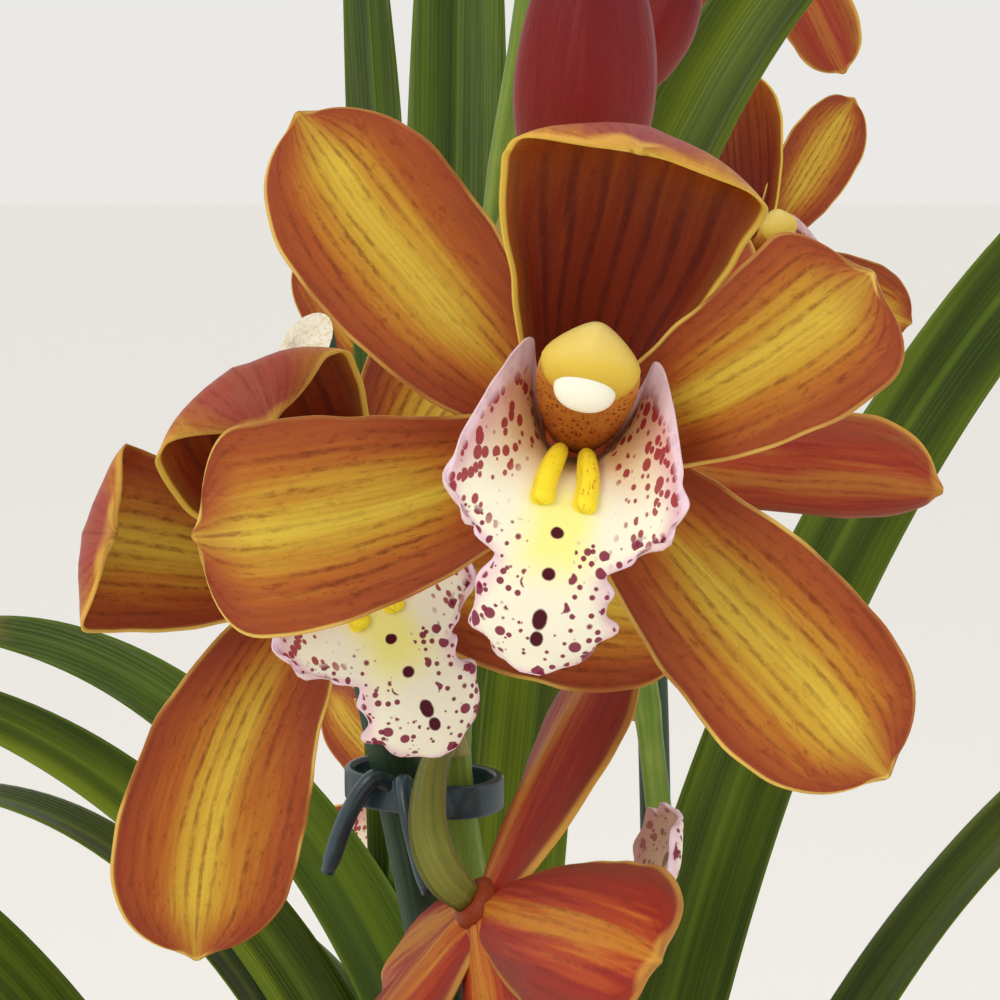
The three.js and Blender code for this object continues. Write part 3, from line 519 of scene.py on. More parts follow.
@skin
def cane_skin(g, x, y, seed, cut, *_):
    streak = g.noise(x * 1.4, y * 0.03, seed, detail=4, roughness=0.65)
    worn = g.noise(x * 0.4, y * 0.05, seed + 3, detail=3)
    colour = g.ramp(streak, {0.3: "0E2410", 0.55: "183A1A", 0.75: "2C5226"})
    colour = g.mix(worn.step(0.64, 0.78) * 0.5, colour, "6E6A3E")
    wood = g.ramp(g.noise(x, y, seed, detail=4, scale=1.3), {0.35: "D9CBA6", 0.6: "EFE8D8", 0.75: "CDB78C"})
    colour = g.mix(cut, colour, wood)
    return g.shade(colour, 0.55, streak, 0.25)


@skin
def clip_plastic(g, x, y, z, *_):
    soft = g.noise(x * 0.2, y * 0.2, z * 0.2)
    fine = g.noise(x * 3, y * 3, z * 3, detail=3)
    colour = g.ramp(soft, {0.35: "182A30", 0.65: "24404A"})
    return g.shade(colour, 0.36, fine, 0.05, **{"Coat Weight": 0.2})


@skin
def clay(g, x, y, z, inside, *_):
    blotch = g.noise(x * 0.012, y * 0.012, z * 0.02, detail=4, roughness=0.6)
    grain = g.noise(x * 0.9, y * 0.9, z * 0.9, detail=5, roughness=0.7)
    rings = g.noise(0, 0, z * 0.45, detail=3)
    salt = g.noise(x * 0.03, y * 0.03, z * 0.05, detail=5, roughness=0.7)
    colour = g.ramp(blotch, {0.3: "9E5530", 0.5: "B4683F", 0.7: "C27E55"})
    colour = g.mix(grain.step(0.55, 0.75) * 0.35, colour, "8A4626")
    colour = g.mix(grain.step(0.45, 0.25) * 0.3, colour, "D29A72")
    bloom = salt.step(0.52, 0.72) * (z.step(60, 5) + z.step(146, 176) * 0.7)
    colour = g.mix(bloom * 0.55, colour, "E4D2C0")
    colour = g.mix(inside * 0.5, colour, "6E3F28")
    return g.shade(colour, 0.86, grain * 0.6 + rings * 1.2 + blotch, 0.5)


@skin
def bark_skin(g, x, y, z, chip, pale, *_):
    layer = g.noise(x * 0.12, y * 0.9, z * 1.6, detail=4, roughness=0.65)
    patch = g.noise(x * 0.16, y * 0.16, z * 0.16, detail=4)
    colour = g.ramp(layer, {0.3: "2C1A10", 0.5: "573522", 0.68: "8A5C3A", 0.82: "AE8458"})
    colour = g.mix(chip * 0.55, colour, g.ramp(patch, {0.35: "4A2A1A", 0.65: "7E4E30"}))
    colour = g.mix(pale.step(0.72, 0.95) * 0.55, colour, "A9855E")
    colour = g.mix(patch.step(0.62, 0.74) * 0.3, colour, "6F6A3A")
    return g.shade(colour, 0.92, layer * 1.4 + patch, 1.2)


# Tables of the plant, the same as in the solids, in millimetres and degrees
# The tepals of each kind of flower: direction and how it sweeps on, length, width, rise from the
# flower's face, bend, curl of the tip, cupping at the foot and at the tip, twist, and where it is widest
Tepal = namedtuple("Tepal", "angle sweep length width rise bend curl cup tip_cup twist belly")
TEPALS = {
    "open": [
        (0, 0, 46, 27, 12, 34, 40, 55, 40, 0, 0.66),
        (58, 0, 47, 23, 14, -6, -10, 35, 15, 0, 0.66),
        (124, 0, 47, 24, 6, 6, 6, 35, 15, 0, 0.66),
        (-124, 0, 47, 24, 6, 6, 6, 35, 15, 0, 0.66),
        (-58, 0, 47, 23, 14, -6, -10, 35, 15, 0, 0.66),
    ],
    "front": [
        (-3, 14, 46, 32, 4, 46, 75, 72, 28, -6, 0.75),
        (64, -30, 39, 21, 30, 0, -14, 35, 12, 0, 0.86),
        (125, 2, 50, 24, 5, 4, 0, 30, 14, 0, 0.69),
        (-125, 20, 43.5, 25, 14, -2, -20, 30, 8, 0, 0.84),
        (-59, 15, 47, 22.7, 8, -4, 0, 35, 10, 0, 0.64),
    ],
    "left": [
        (-6, 6, 44, 30, 13, 58, 112, 50, 32, 0, 0.56),
        (56, 0, 46, 23, 0, 0, 0, 35, 14, 0, 0.66),
        (125, 0, 46, 24, 2, 0, 0, 30, 15, 0, 0.66),
        (-113, -40, 52.5, 24.5, -2, -4, 0, 30, 12, 0, 0.74),
        (-56, 0, 42, 24.5, 12, 20, 98, 39, 14, 4, 0.77),
    ],
    "back": [
        (-12, 0, 44, 23, 20, 20, 0, 35, 15, 0, 0.66),
        (68, 0, 43, 22, 4, 4, 0, 35, 15, 0, 0.66),
        (126, 0, 42, 23, 16, 10, 0, 35, 15, 0, 0.66),
        (-152, 0, 42, 23, 16, 10, 0, 35, 15, 0, 0.66),
        (-91, 0, 47, 24, 2, 4, 0, 70, 66, -30, 0.66),
    ],
    "high": [
        (0, 0, 50, 25, 8, 6, 8, 40, 25, 0, 0.66),
        (46, 0, 50, 24, 8, -4, 0, 35, 15, 0, 0.66),
        (124, 0, 50, 24, 4, 4, 0, 35, 15, 0, 0.66),
        (-128, 0, 46, 23, 6, 6, 0, 35, 15, 0, 0.66),
        (-60, 0, 44, 23, 14, -6, 0, 35, 15, 0, 0.66),
    ],
    "drooping": [
        (0, 0, 44, 26, 12, 30, 30, 50, 36, 0, 0.66),
        (64, 0, 44, 23, 12, 0, 0, 35, 15, 0, 0.66),
        (150, 0, 46, 23, 10, 6, 0, 35, 15, 0, 0.66),
        (-162, 0, 50, 22, 6, 4, 0, 35, 15, 0, 0.66),
        (-64, 0, 44, 23, 12, 0, 0, 35, 15, 0, 0.66),
    ],
    "side": [
        (0, 0, 46, 26, -4, 14, 0, 45, 35, 0, 0.66),
        (58, 0, 45, 23, 22, 12, 0, 36, 20, 0, 0.66),
        (116, 0, 44, 26, -4, 16, 0, 44, 34, 0, 0.66),
        (-154, 0, 40, 26, -6, 6, 0, 40, 24, 0, 0.66),
        (-46, 0, 36, 23, 6, 14, 0, 40, 34, 0, 0.66),
    ],
}
# Middle y and z of the lip, then x, y and z of its margin, from root to tip
LIP_ROWS = [
    (-2.4, 4.4, 4.4, 1.5, 4.2),
    (-2.8, 6.6, 6.4, 7.5, 7),
    (-3.4, 9.5, 7.6, 10.4, 11),
    (-4.4, 12.8, 10.4, 6.5, 15),
    (-6.6, 15.8, 12.6, -0.5, 18),
    (-9.8, 17.8, 13.4, -6, 19.4),
    (-13.6, 18.8, 9.8, -12, 18.8),
    (-17.6, 18.8, 7.2, -16.8, 17),
    (-21.8, 17.6, 7.4, -20.8, 15),
    (-25.6, 15.6, 3.2, -24.8, 13.6),
]
LIP_TIP = (-26.5, 15.0, 1.2, -26.3, 14.5)
# How much wider the dressed lip's margin stands, at shares from its root to its tip
LIP_MARGIN = [
    (0, 0), (0.22, -0.3), (0.3, -0.9), (0.42, -0.6), (0.54, 0), (0.63, -2), (0.72, 0.2), (0.85, 0.6), (1, 0),
]
LIP_RIDGE = [
    (1.4, -1.6, 7.2), (1.5, -1.5, 8.8), (1.8, -2.4, 12), (2.3, -4.6, 15), (2.4, -6.9, 17), (2.3, -7.8, 17.6),
]
LIP_RIDGE_RADIUS = [(0, 0.4), (0.25, 1.0), (0.5, 1.3), (0.85, 1.4), (0.96, 1.0), (1, 0.3)]
# middle y, z, half width, height above and below the middle
COLUMN_ROWS = [
    (2.2, 2.6, 2.8, 2.0, 2.6), (2.6, 4.4, 3.6, 2.3, 3.8), (3.4, 7.0, 4.3, 2.6, 4.9),
    (4.5, 10.0, 4.9, 2.9, 5.0), (5.8, 12.8, 5.4, 3.2, 4.4), (7.1, 15.0, 5.7, 3.6, 3.8),
    (7.9, 16.6, 5.6, 3.7, 3.4), (8.2, 17.6, 4.6, 3.0, 2.6), (8.2, 18.0, 2.5, 1.6, 1.4),
]
# radius, height
JOINT = [(2.6, -2), (3.5, -1.3), (4, -0.4), (3.9, 0.6), (3.2, 1.6), (2, 2.1)]
# spike, share where the stalk leaves, place, heading, elevation, roll, tepals, redness
FLOWERS = [
    (0, 0.845, (9, -169, 607), -2, 7, 11, "front", 0.0),
    (0, 0.81, (-21, -137, 586), 8, 12, -26, "left", 0.12),
    (0, 0.86, (20, -70, 592), 162, 0, -2, "back", 0.6),
    (0, 0.78, (-3, -130, 538), 108, -36, 166, "side", 0.85),
    (0, 0.68, (-22, -144, 490), -24, 4, -6, "open", 0.5),
    (0, 0.58, (46, -124, 452), 42, 0, 8, "open", 0.3),
    (1, 0.9, (72, 232, 712), 158, 4, 8, "drooping", 0.45),
    (1, 0.8, (71, 222, 614), 24, 2, -12, "high", 0.15),
    (1, 0.72, (-24, 196, 576), -32, 2, 20, "open", 0.1),
    (1, 0.58, (-18, 160, 470), -48, 0, 4, "open", 0.25),
    (1, 0.46, (92, 112, 388), 58, -4, 8, "open", 0.2),
]
# spike, share, place, heading, elevation, length, radius
BUDS = [
    (0, 0.93, (9.7, -142, 631), 10, 80, 42, 9.2),
    (0, 0.94, (19, -112, 650), 50, 60, 20, 5),
    (0, 0.985, (-6, -128, 690), -40, 55, 22, 4.8),
    (1, 0.95, (22, 222, 722), -60, 40, 32, 7),
    (1, 0.985, (54, 226, 752), 40, 55, 24, 5),
]
BUD_SHAPE = [(0, 0.35), (0.12, 0.75), (0.4, 1), (0.66, 0.86), (0.88, 0.45), (1, 0.12)]
SPIKES = [
    [
        (52, -56, 146), (49, -62, 206), (41, -69, 266), (32, -75, 326), (22, -82, 386),
        (11.5, -89, 446), (0, -96, 506), (-7.5, -101.5, 556), (-3, -112, 604), (9, -123, 694),
    ],
    [
        (60, 36, 146), (57, 56, 246), (50, 90, 350), (43, 130, 450), (34, 182, 556), (38, 212, 650),
        (46, 228, 746),
    ],
]
CANES = [[(62, -41.6, 125), (-28.3, -103, 617)], [(46, 52, 110), (40, 196, 566)]]
CLIPS = [(0, 546), (0, 400), (1, 540)]
# place, heading of the fan, and leaves: heading, length, width, lean at base and tip, power, start, twist
SHOOTS = [
    ((0, 10), 100, [
        (105, 560, 23, 3, 80, 2.7, 8, 80),
        (-108, 408, 19, -5, 96, 3.1, -9, -60),
        (-97, 403, 18, -4, 91, 2.7, -13, -50),
        (178, 560, 27, 0, 22, 2, -10, 0),
        (92, 610, 21, -1, 118, 4.8, 6, 75),
        (-168, 540, 19, 2, 26, 2, -14, -40),
    ]),
    ((-50, 26), -130, [
        (-92, 430, 21, -2, 118, 2.4, 2, -40),
        (-128, 470, 23, 4, 118, 1.7, 10, 0),
        (-106, 390, 20, -9, 125, 3.2, -6, 0),
        (-58, 360, 20, 6, 126, 1.5, 12, 0),
    ]),
    ((18, 62), 150, [
        (114, 486, 23, 6, 108, 1.8, 0, 0),
        (180, 300, 20, 3, 135, 1.6, 10, 0),
        (86, 470, 22, 5, 118, 1.7, -6, 0),
        (-150, 380, 21, 4, 124, 1.6, -3, 0),
    ]),
    ((2, -48), -60, [
        (-66, 430, 22, 3, 120, 1.6, 8, 0),
        (-32, 360, 20, 6, 125, 1.4, 4, 0),
        (100, 420, 22, 8, 118, 1.5, -7, 0),
        (-6, 320, 20, 10, 130, 1.3, -6, 0),
    ]),
]
BULB = dict(foot=148, height=84, wide=24, deep=16)
BULB_SHAPE = [(0, 0.35), (0.14, 0.8), (0.36, 1), (0.62, 0.84), (0.84, 0.5), (1, 0.22)]
POT = dict(height=185, rim=104, rim_height=34, foot=68, wall=7, floor=9)
DRAIN = dict(radius=7, circle=36, count=3)
BARK = dict(edge=162, crown=168)
RACHIS = (4.4, 2.6)
CANE_RADIUS = 4.1
CLIP = dict(clearance=2.8, wall=1.6, height=5)
THICK = dict(tepal=1.0, lip=0.8, leaf=1.2, bract=0.5, sheath=0.6)
CHIPS = 330
GOLDEN_ANGLE = 137.5

# Rows and columns of the meshes
TEPAL_MESH = (44, 21)
FRONT_LIP_MESH, LIP_MESH = (120, 61), (60, 37)
LEAF_MESH = (96, 15)


# Flowers
def bloom_frame(at, heading, elevation, roll=0):
    a, e, r = (math.radians(angle) for angle in (heading, elevation, roll))
    face = np.array([math.sin(a) * math.cos(e), -math.cos(a) * math.cos(e), math.sin(e)])
    level = np.array([math.cos(a), math.sin(a), 0])
    upright = np.cross(face, level)
    matrix = np.eye(4)
    matrix[:3, 0] = level * math.cos(r) - upright * math.sin(r)
    matrix[:3, 1] = upright * math.cos(r) + level * math.sin(r)
    matrix[:3, 2] = face
    matrix[:3, 3] = at
    return matrix


def tepal_width(v, belly, neck=0.4):
    low = lerp(neck, 1, np.sin(math.pi / 2 * np.minimum(v / belly, 1)))
    high = np.sqrt(np.maximum(0, 1 - np.maximum(0, (v - belly) / (1 - belly)) ** 2.3))
    return np.where(v < belly, low, high)


def add_tepal(piece, t, seed, red, hood_with_painted_shade):
    rows, wide = TEPAL_MESH
    vs = 1 - (1 - evenly(rows)) ** 1.35
    vs[-1] = 0.9992
    us = np.sin(np.linspace(-1, 1, wide) * math.pi / 2)
    turn = lambda v: np.radians(t.angle + t.sweep * v)
    lean = lambda v: np.radians(t.rise + t.bend * v + t.curl * smooth(v, 0.62, 1))
    outward = lambda v: grid(np.sin(turn(v)), np.cos(turn(v)), 0)
    ahead = lambda v: outward(v) * np.cos(lean(v))[:, None] + UP * np.sin(lean(v))[:, None]
    at = walk(outward(np.zeros(1))[0] * 2.5, ahead, t.length, vs, 160)
    side = grid(np.cos(turn(vs)), -np.sin(turn(vs)), 0)
    face = UP * np.cos(lean(vs))[:, None] - outward(vs) * np.sin(lean(vs))[:, None]
    twist = np.radians(t.twist * vs)[:, None]
    across = (side * np.cos(twist) + face * np.sin(twist))[:, None]
    front = (face * np.cos(twist) - side * np.sin(twist))[:, None]
    cup = np.radians(np.maximum(1, lerp(t.cup, t.tip_cup, vs)))[:, None]
    half = (t.width / 2 * tepal_width(vs, t.belly))[:, None]
    bow = cup * us
    sheet = at[:, None] + across * (half * np.sin(bow) / cup)[..., None]
    sheet = sheet + front * (half * (1 - np.cos(bow)) / cup)[..., None]
    normals = front * np.cos(bow)[..., None] - across * np.sin(bow)[..., None]

    # A groove down the middle, a waved margin, a slightly uneven face and a small point
    hand, margin = np.sign(us), np.abs(us) ** 3
    along = vs[:, None] * t.length
    body = smooth(half, 1.0, 6.0)
    wave = 0.7 * ripple(along * 0.17 + hand * 2.0, seed) * margin * smooth(vs, 0.12, 0.6)[:, None]
    groove = -0.3 * np.exp(-((us / 0.09) ** 2)) * smooth(vs, 1, 0.8)[:, None]
    uneven = 0.35 * ripple(along * 0.09 + us * 2.4, seed + 3) * body
    notch = 0.25 * ripple(along * 0.25 + hand * 4.0, seed + 9) * margin * hand * body
    point = np.exp(-((half * us / 1.3) ** 2)) * smooth(vs, 0.9, 1)[:, None]
    sheet = sheet + normals * (wave + groove + uneven)[..., None] + across * notch[..., None]
    sheet = sheet + unit(np.gradient(at, axis=0))[:, None] * point[..., None]

    edge = np.minimum(half * (1 - np.abs(us)), (1 - vs[:, None]) * t.length * 0.75)
    spot = grid(us * half, along, seed * 3.7)
    add_shell(piece, sheet, normals, THICK["tepal"], vs, us, edge, spot, (red, hood_with_painted_shade))


def varied(index):
    """The tepals of an ordinary open flower, each set slightly different."""
    for i, tepal in enumerate(Tepal(*row) for row in TEPALS["open"]):
        wave = [math.sin(index * 2.3 + i * 1.9 + k) for k in range(3)]
        yield tepal._replace(
            angle=tepal.angle + 4 * wave[0], rise=tepal.rise + 5 * wave[1], length=tepal.length + 2 * wave[2]
        )


def lip_sheet(seed, rows, wide):
    places = evenly(rows)
    y, z, edge_x, edge_y, edge_z = through(LIP_ROWS + [LIP_TIP], places).T[..., None]
    edge_x = edge_x + np.interp(places, *zip(*LIP_MARGIN))[:, None]
    places = places[:, None]
    us = np.sin(np.linspace(-1, 1, wide) * math.pi / 2)
    hand, spread = np.sign(us), 1 - (1 - np.abs(us)) ** 1.7
    rise = np.abs(us) ** 2.2
    sheet = grid(edge_x * hand * spread, lerp(y, edge_y, rise), lerp(z, edge_z, rise))
    along = np.gradient(sheet, axis=0)
    across = np.gradient(sheet, axis=1)
    normals = unit(np.cross(along, across))

    # The margin is crimped, mostly on the tongue and at the corners of the side lobes
    step = np.linalg.norm(np.diff(sheet[:, -1], axis=0), axis=1)
    reach = np.concatenate([[0], np.cumsum(step)])[:, None]
    strength = 0.06 + 0.8 * smooth(places, 0.36, 0.5) + 0.2 * smooth(places, 0.6, 0.8)
    near = smooth(np.abs(us), 0.55, 1.0) * strength * smooth(places, 1.0, 0.95)
    turn = reach * 1.15 + hand * 0.9 + seed + 1.1 * np.sin(reach * 0.37 + seed + hand)
    crimp = (near * (np.sin(turn) + 0.2 * np.sin(turn * 1.73 + 1.0)))[..., None]
    sheet = sheet + crimp * (normals * 0.6 + unit(across) * hand[:, None] * 0.28)
    edge = np.abs(edge_x) * (1 - spread) + 0.8 * np.abs(edge_z - z) * (1 - rise)
    return sheet, normals, places[:, 0], us, np.minimum(edge, (1 - places) * 30)


def build_flower(index, flower):
    _, _, at, heading, elevation, roll, kind, red = flower
    matrix = bloom_frame(at, heading, elevation, roll)
    name = f"flower_{index + 1}"
    piece = Piece(f"{name}_petals")
    piece.loft(turned(JOINT, 20), (1, 0.2, 0), (0.9, 0.05, 9))
    tepals = varied(index) if kind == "open" else [Tepal(*row) for row in TEPALS[kind]]
    for i, tepal in enumerate(tepals):
        # The first tepal of a less red flower is the hood, and its front is darkened with painted shade
        hood_with_painted_shade = 1.0 if i == 0 and red < 0.6 else 0.0
        add_tepal(piece, tepal, index * 1.3 + i * 0.77 + 0.3, red, hood_with_painted_shade)
    piece.build(petal_skin, f"{name}_tepals", matrix)

    piece = Piece(f"{name}_lip_skin")
    sheet, normals, vs, us, edge = lip_sheet(index * 1.7, *(FRONT_LIP_MESH if index < 2 else LIP_MESH))
    add_shell(piece, sheet, normals, THICK["lip"], vs, us, edge, sheet, (0, 0))
    t = evenly(26)
    radii = np.interp(t, *zip(*LIP_RIDGE_RADIUS))
    for hand in (-1, 1):
        add_tube(piece, through(np.array(LIP_RIDGE) * (hand, 1, 1), t), radii, 12, look=(1, 1, 0))
    piece.build(lip_skin, f"{name}_lip", matrix)
    build_column(name, matrix)


def build_column(name, matrix):
    piece = Piece(f"{name}_column_skin")
    turn = around(40)
    cos, sin = np.cos(turn), np.sin(turn)
    rows = through(COLUMN_ROWS, evenly(40))
    y, z, wide, above, below = rows.T[..., None]
    hollow = 1 - 0.3 * smooth(z, 9, 15) * np.maximum(0, -sin) ** 6
    high = np.where(sin > 0, above, below * hollow)
    wing = 1 + 0.08 * np.exp(-(((sin + 0.45) / 0.25) ** 2)) * smooth(z, 5, 12)
    under = smooth(-sin, -0.05, 0.4) * smooth(z, 2, 7)
    piece.loft(grid(wide * wing * cos, y + high * sin, z), grid(0, 0, under))

    # The anther cap is a helmet with a low ridge, and the pale anther shows under it
    lat = np.linspace(-math.pi / 2 + 0.05, math.pi / 2 - 0.05, 26)[:, None]
    ball = grid(np.cos(lat) * cos, np.cos(lat) * sin, np.sin(lat))
    ball = np.sign(ball) * np.abs(ball) ** 0.94
    upper = np.maximum(0, ball[..., 1])
    cap = ball * (5.6, 4.5, 3.9)
    cap[..., 0] *= 1 - 0.5 * upper**1.3
    cap[..., 2] += 0.7 * np.exp(-((cap[..., 0] / 1.1) ** 2)) * upper * (ball[..., 2] > 0)
    piece.loft(cap + (0, 8.7, 16.9), (1, 0, 0))
    piece.loft(ball * (3.5, 2.6, 2.2) + (-0.1, 5.6, 18.4), (0, 1, 0))
    piece.build(column_skin, f"{name}_column", matrix)


def build_bud(index, bud):
    _, _, at, heading, elevation, length, radius = bud
    piece = Piece(f"bud_{index + 1}_skin")
    turn = around(48)
    shares = 1 - (1 - evenly(40)) ** 1.25
    widths = np.maximum(swelling(BUD_SHAPE, shares), 0.03)
    widths[-1] = 0.02
    seams = np.abs(np.sin(1.5 * turn + 0.4 + index)) ** 0.35
    share = shares[:, None]
    shape = radius * widths[:, None] * (0.93 + 0.07 * seams)
    lean = 0.08 * radius * np.sin(share * 2.2 + index)
    rings = grid(shape * np.cos(turn) + lean, 0.8 * shape * np.sin(turn), length * share)
    pat = grid(turn / math.pi - 1, share, 9 * seams)
    piece.loft(rings, (0, 0, 0), pat, grid(turn * radius, share * length, index * 2.1))
    piece.build(bud_skin, f"bud_{index + 1}", bloom_frame(at, heading, elevation))


# Spikes
def stalk_line(spike, share, at, heading, elevation, back, gap, places):
    start = through(SPIKES[spike], [share])[0]
    face = bloom_frame(at, heading, elevation)[:3, 2]
    end = np.array(at, float) - face * (back + gap)
    span = np.linalg.norm(end - start)
    side = unit((end - start) * (1, 1, 0))
    leave = start + side * span * 0.3 + UP * span * 0.12
    arrive = end - face * span * 0.42
    t = places[:, None]
    return (1 - t) ** 3 * start + 3 * (1 - t) ** 2 * t * leave + 3 * (1 - t) * t**2 * arrive + t**3 * end


def build_spike(index, points):
    piece = Piece(f"spike_{index + 1}_skin")
    shares = evenly(110)
    blooms = [(*flower[1:5], 2.0) for flower in FLOWERS if flower[0] == index]
    blooms += [(*bud[1:5], 0.0) for bud in BUDS if bud[0] == index]
    swell = sum(0.16 * np.exp(-(((shares - bloom[0]) / 0.008) ** 2)) for bloom in blooms)
    radii = lerp(*RACHIS, shares) * (0.97 + swell)
    add_tube(piece, through(points, shares), radii, 20, look=(0.05, 0, 0))
    t = evenly(34)
    radii = lerp(1.9, 2.9, smooth(t, 0.3, 0.8)) * (1 - 0.18 * smooth(t, 0.9, 1))
    radii = radii * (1 + 0.5 * smooth(t, 0.06, 0))
    for number, (share, at, heading, elevation, back) in enumerate(blooms):
        path = stalk_line(index, share, at, heading, elevation, back, 0.1, t)
        add_tube(piece, path, radii, 24, look=(0.35, 0, 0), ribs=6, depth=0.06)
        add_bract(piece, index, share, at, number)
    piece.build(stem_skin, f"spike_{index + 1}")


def add_bract(piece, spike, share, at, number):
    """The small pointed papery scale under a stalk, clasping the stem."""
    start = through(SPIKES[spike], [share])[0]
    out = unit((at - start) * (1, 1, 0))
    side = np.cross(out, UP)
    vs, us = np.linspace(0, 0.995, 18), np.linspace(-1, 1, 11)
    radius = 4.7 - 1.6 * share
    reach = radius + 5.2 * smooth(vs, 0.25, 1.15) ** 1.3
    height = -4.5 + 11.5 * vs
    half = 1.9 * np.sqrt(np.maximum(0, 1 - vs**2.2)) * (0.65 + 0.35 * smooth(vs, 0.35, 0))
    bow = us * half[:, None] / 2.2
    cos, sin = np.cos(bow)[..., None], np.sin(bow)[..., None]
    sheet = start + out * (reach[:, None, None] - radius * (1 - cos)) + side * radius * sin
    sheet = sheet + UP * height[:, None, None]
    edge = half[:, None] * (1 - np.abs(us))
    spot = grid(us * 3, vs[:, None] * 12, number * 1.9)
    normals = unit(-out * cos - side * sin)
    add_shell(piece, sheet, normals, THICK["bract"], vs, us, edge, spot, (0.85, 0), side=(0.2, 0.2))


# Shoots
def leaf_width(v):
    taper = np.maximum(0, v - 0.3) / 0.7
    return lerp(0.75, 1, smooth(v, 0, 0.3)) * np.sqrt(np.maximum(0, 1 - taper**3))


def add_leaf(piece, place, fan, leaf, seed):
    heading, length, width, low, high, power, start, twist = leaf
    rows, wide = LEAF_MESH
    vs = 1 - (1 - evenly(rows)) ** 1.2
    vs[-1] = 0.9995
    us = np.linspace(-1, 1, wide)
    out, side = polar(heading, 1), polar(heading + 90, 1)
    lean = lambda v: np.radians(lerp(low, high, v**power))[:, None]
    ahead = lambda v: out * np.sin(lean(v)) + UP * np.cos(lean(v))
    foot = polar(fan, start, BULB["foot"] + BULB["height"] * 0.62) + (*place, 0)
    at = walk(foot, ahead, length, vs, 240)
    turn = np.radians(twist * smooth(vs, 0.1, 0.6))[:, None]
    above = unit(np.cross(ahead(vs), side))
    across = (side * np.cos(turn) + above * np.sin(turn))[:, None]
    upper = (above * np.cos(turn) - side * np.sin(turn))[:, None]
    fold = np.radians(lerp(62, 16, smooth(vs, 0, 0.35)))[:, None]
    half = (width / 2 * leaf_width(vs))[:, None]
    bend = np.sqrt(us**2 + 0.012) - math.sqrt(0.012)
    sheet = at[:, None] + across * (half * us * np.cos(fold))[..., None]
    sheet = sheet + upper * (half * bend * np.sin(fold))[..., None]
    slope = (np.sin(fold) * np.clip(us * 4, -1, 1))[..., None]
    normals = unit(upper * np.cos(fold)[..., None] - across * slope)
    reach = vs[:, None] * length
    wave = 0.5 * ripple(reach * 0.03 + np.sign(us), seed) * us**2 * smooth(vs, 0.1, 0.4)[:, None]
    sheet = sheet + normals * wave[..., None]
    edge = np.minimum(half * (1 - np.abs(us)), (1 - vs[:, None]) * length * 0.5)
    blue = 0.35 * (1 + math.sin(seed * 3.1))
    spot = grid(us * half, reach, seed * 4.3)
    add_shell(piece, sheet, normals, THICK["leaf"], vs, us, edge, spot, (blue, 0))


def around_bulb(place, fan, turn, share, widths, grow):
    """Points round a bulb, at the angles turn and the shares of its height."""
    sheet = polar(fan, 1) * (np.cos(turn) * (BULB["wide"] * widths + grow))[..., None]
    sheet = sheet + polar(fan + 90, 1) * (np.sin(turn) * (BULB["deep"] * widths + grow))[..., None]
    return (*place, BULB["foot"]) + sheet + UP * (BULB["height"] * share)[..., None]


def build_shoot(index, shoot):
    place, fan, leaves = shoot
    piece = Piece(f"shoot_{index + 1}_skin")
    share = evenly(30)[:, None]
    turn = around(40)
    rings = around_bulb(place, fan, turn, share, swelling(BULB_SHAPE, share[:, 0])[:, None], -0.4)
    pat = grid(turn / math.pi - 1, share * 0.3, 9)
    piece.loft(rings, (1, 0.1, 0), pat, grid(turn * 14, share * BULB["height"], index))
    for layer in range(4):
        add_sheath(piece, place, fan, index * 2.7 + layer, layer)
    for number, leaf in enumerate(leaves):
        add_leaf(piece, place, fan, leaf, index * 1.9 + number * 0.83)
    piece.build(leaf_skin, f"shoot_{index + 1}")


def add_sheath(piece, place, fan, seed, layer):
    """An old leaf base that wraps the bulb and ends in a torn point."""
    vs, us = evenly(22), np.linspace(-1, 1, 41)
    turn = math.pi * layer + 0.35 * math.sin(seed * 2.2) + us * (1.9 - 0.2 * layer)
    torn = 0.03 * np.sin(us * 23 + seed) + 0.02 * np.sin(us * 57 + seed * 3)
    top = 0.34 + 0.13 * layer + (0.2 + 0.04 * layer) * (1 - np.abs(us)) ** 1.4 + torn
    share = 0.02 + vs[:, None] * (np.minimum(top, 0.96) - 0.02)
    grow = 0.5 + 0.35 * layer + 0.8 * vs[:, None] ** 3
    sheet = around_bulb(place, fan, turn, share, np.interp(share, *zip(*BULB_SHAPE)), grow)
    cos, sin = np.cos(turn)[:, None], np.sin(turn)[:, None]
    normals = np.broadcast_to(unit(polar(fan, 1) * cos + polar(fan + 90, 1) * sin), sheet.shape)
    edge = (1 - np.abs(us)) * 20
    dry = (1.0, 0.75, 0.15, 0.0)[layer]
    spot = grid(turn * 14, share * BULB["height"], seed)
    add_shell(piece, sheet, normals, THICK["sheath"], vs * 0.4, us, edge, spot, (0.1, dry))


# Canes and clips
def build_cane(index, ends):
    """A cane with a slanted cut, hollowed a little in its pith."""
    bottom, top = (np.array(end, float) for end in ends)
    piece = Piece(f"cane_{index + 1}_skin")
    sides = 24
    places = evenly(60)[:, None]
    radii = CANE_RADIUS * (1 + 0.03 * ripple(places[:, 0] * 20, index + 1))
    rings = circle_rings(lerp(bottom, top, places), radii, sides)
    slant = unit(np.array([0.3, 0.85, 0.0]))
    rings[-1] += UP * ((rings[-1] - top) @ slant * 0.9 - 3.6)[:, None]
    rings[-2] = lerp(rings[-3], rings[-1], 0.6)
    spot = grid(np.arange(sides) / sides * 25, places * np.linalg.norm(top - bottom), index * 5.0)
    piece.add(rings, loft(rings)[:-1], spot=spot)
    rim = rings[-1]
    inward = lambda share, down: lerp(rim, rim.mean(0), share) - UP * down
    index_rows, faces = bands(4, sides)
    cut = np.array([rim, inward(0.45, 0), inward(0.5, 0.9), inward(0.97, 1.1)])
    piece.add(cut, [*faces, index_rows[-1]], (1, 0, 0))
    piece.build(cane_skin, f"cane_{index + 1}")


def stem_at(spike, z):
    shares = evenly(401)
    line = through(SPIKES[spike], shares)
    i = int(np.argmax(line[:, 2] >= z))
    return line[i], lerp(*RACHIS, shares[i])


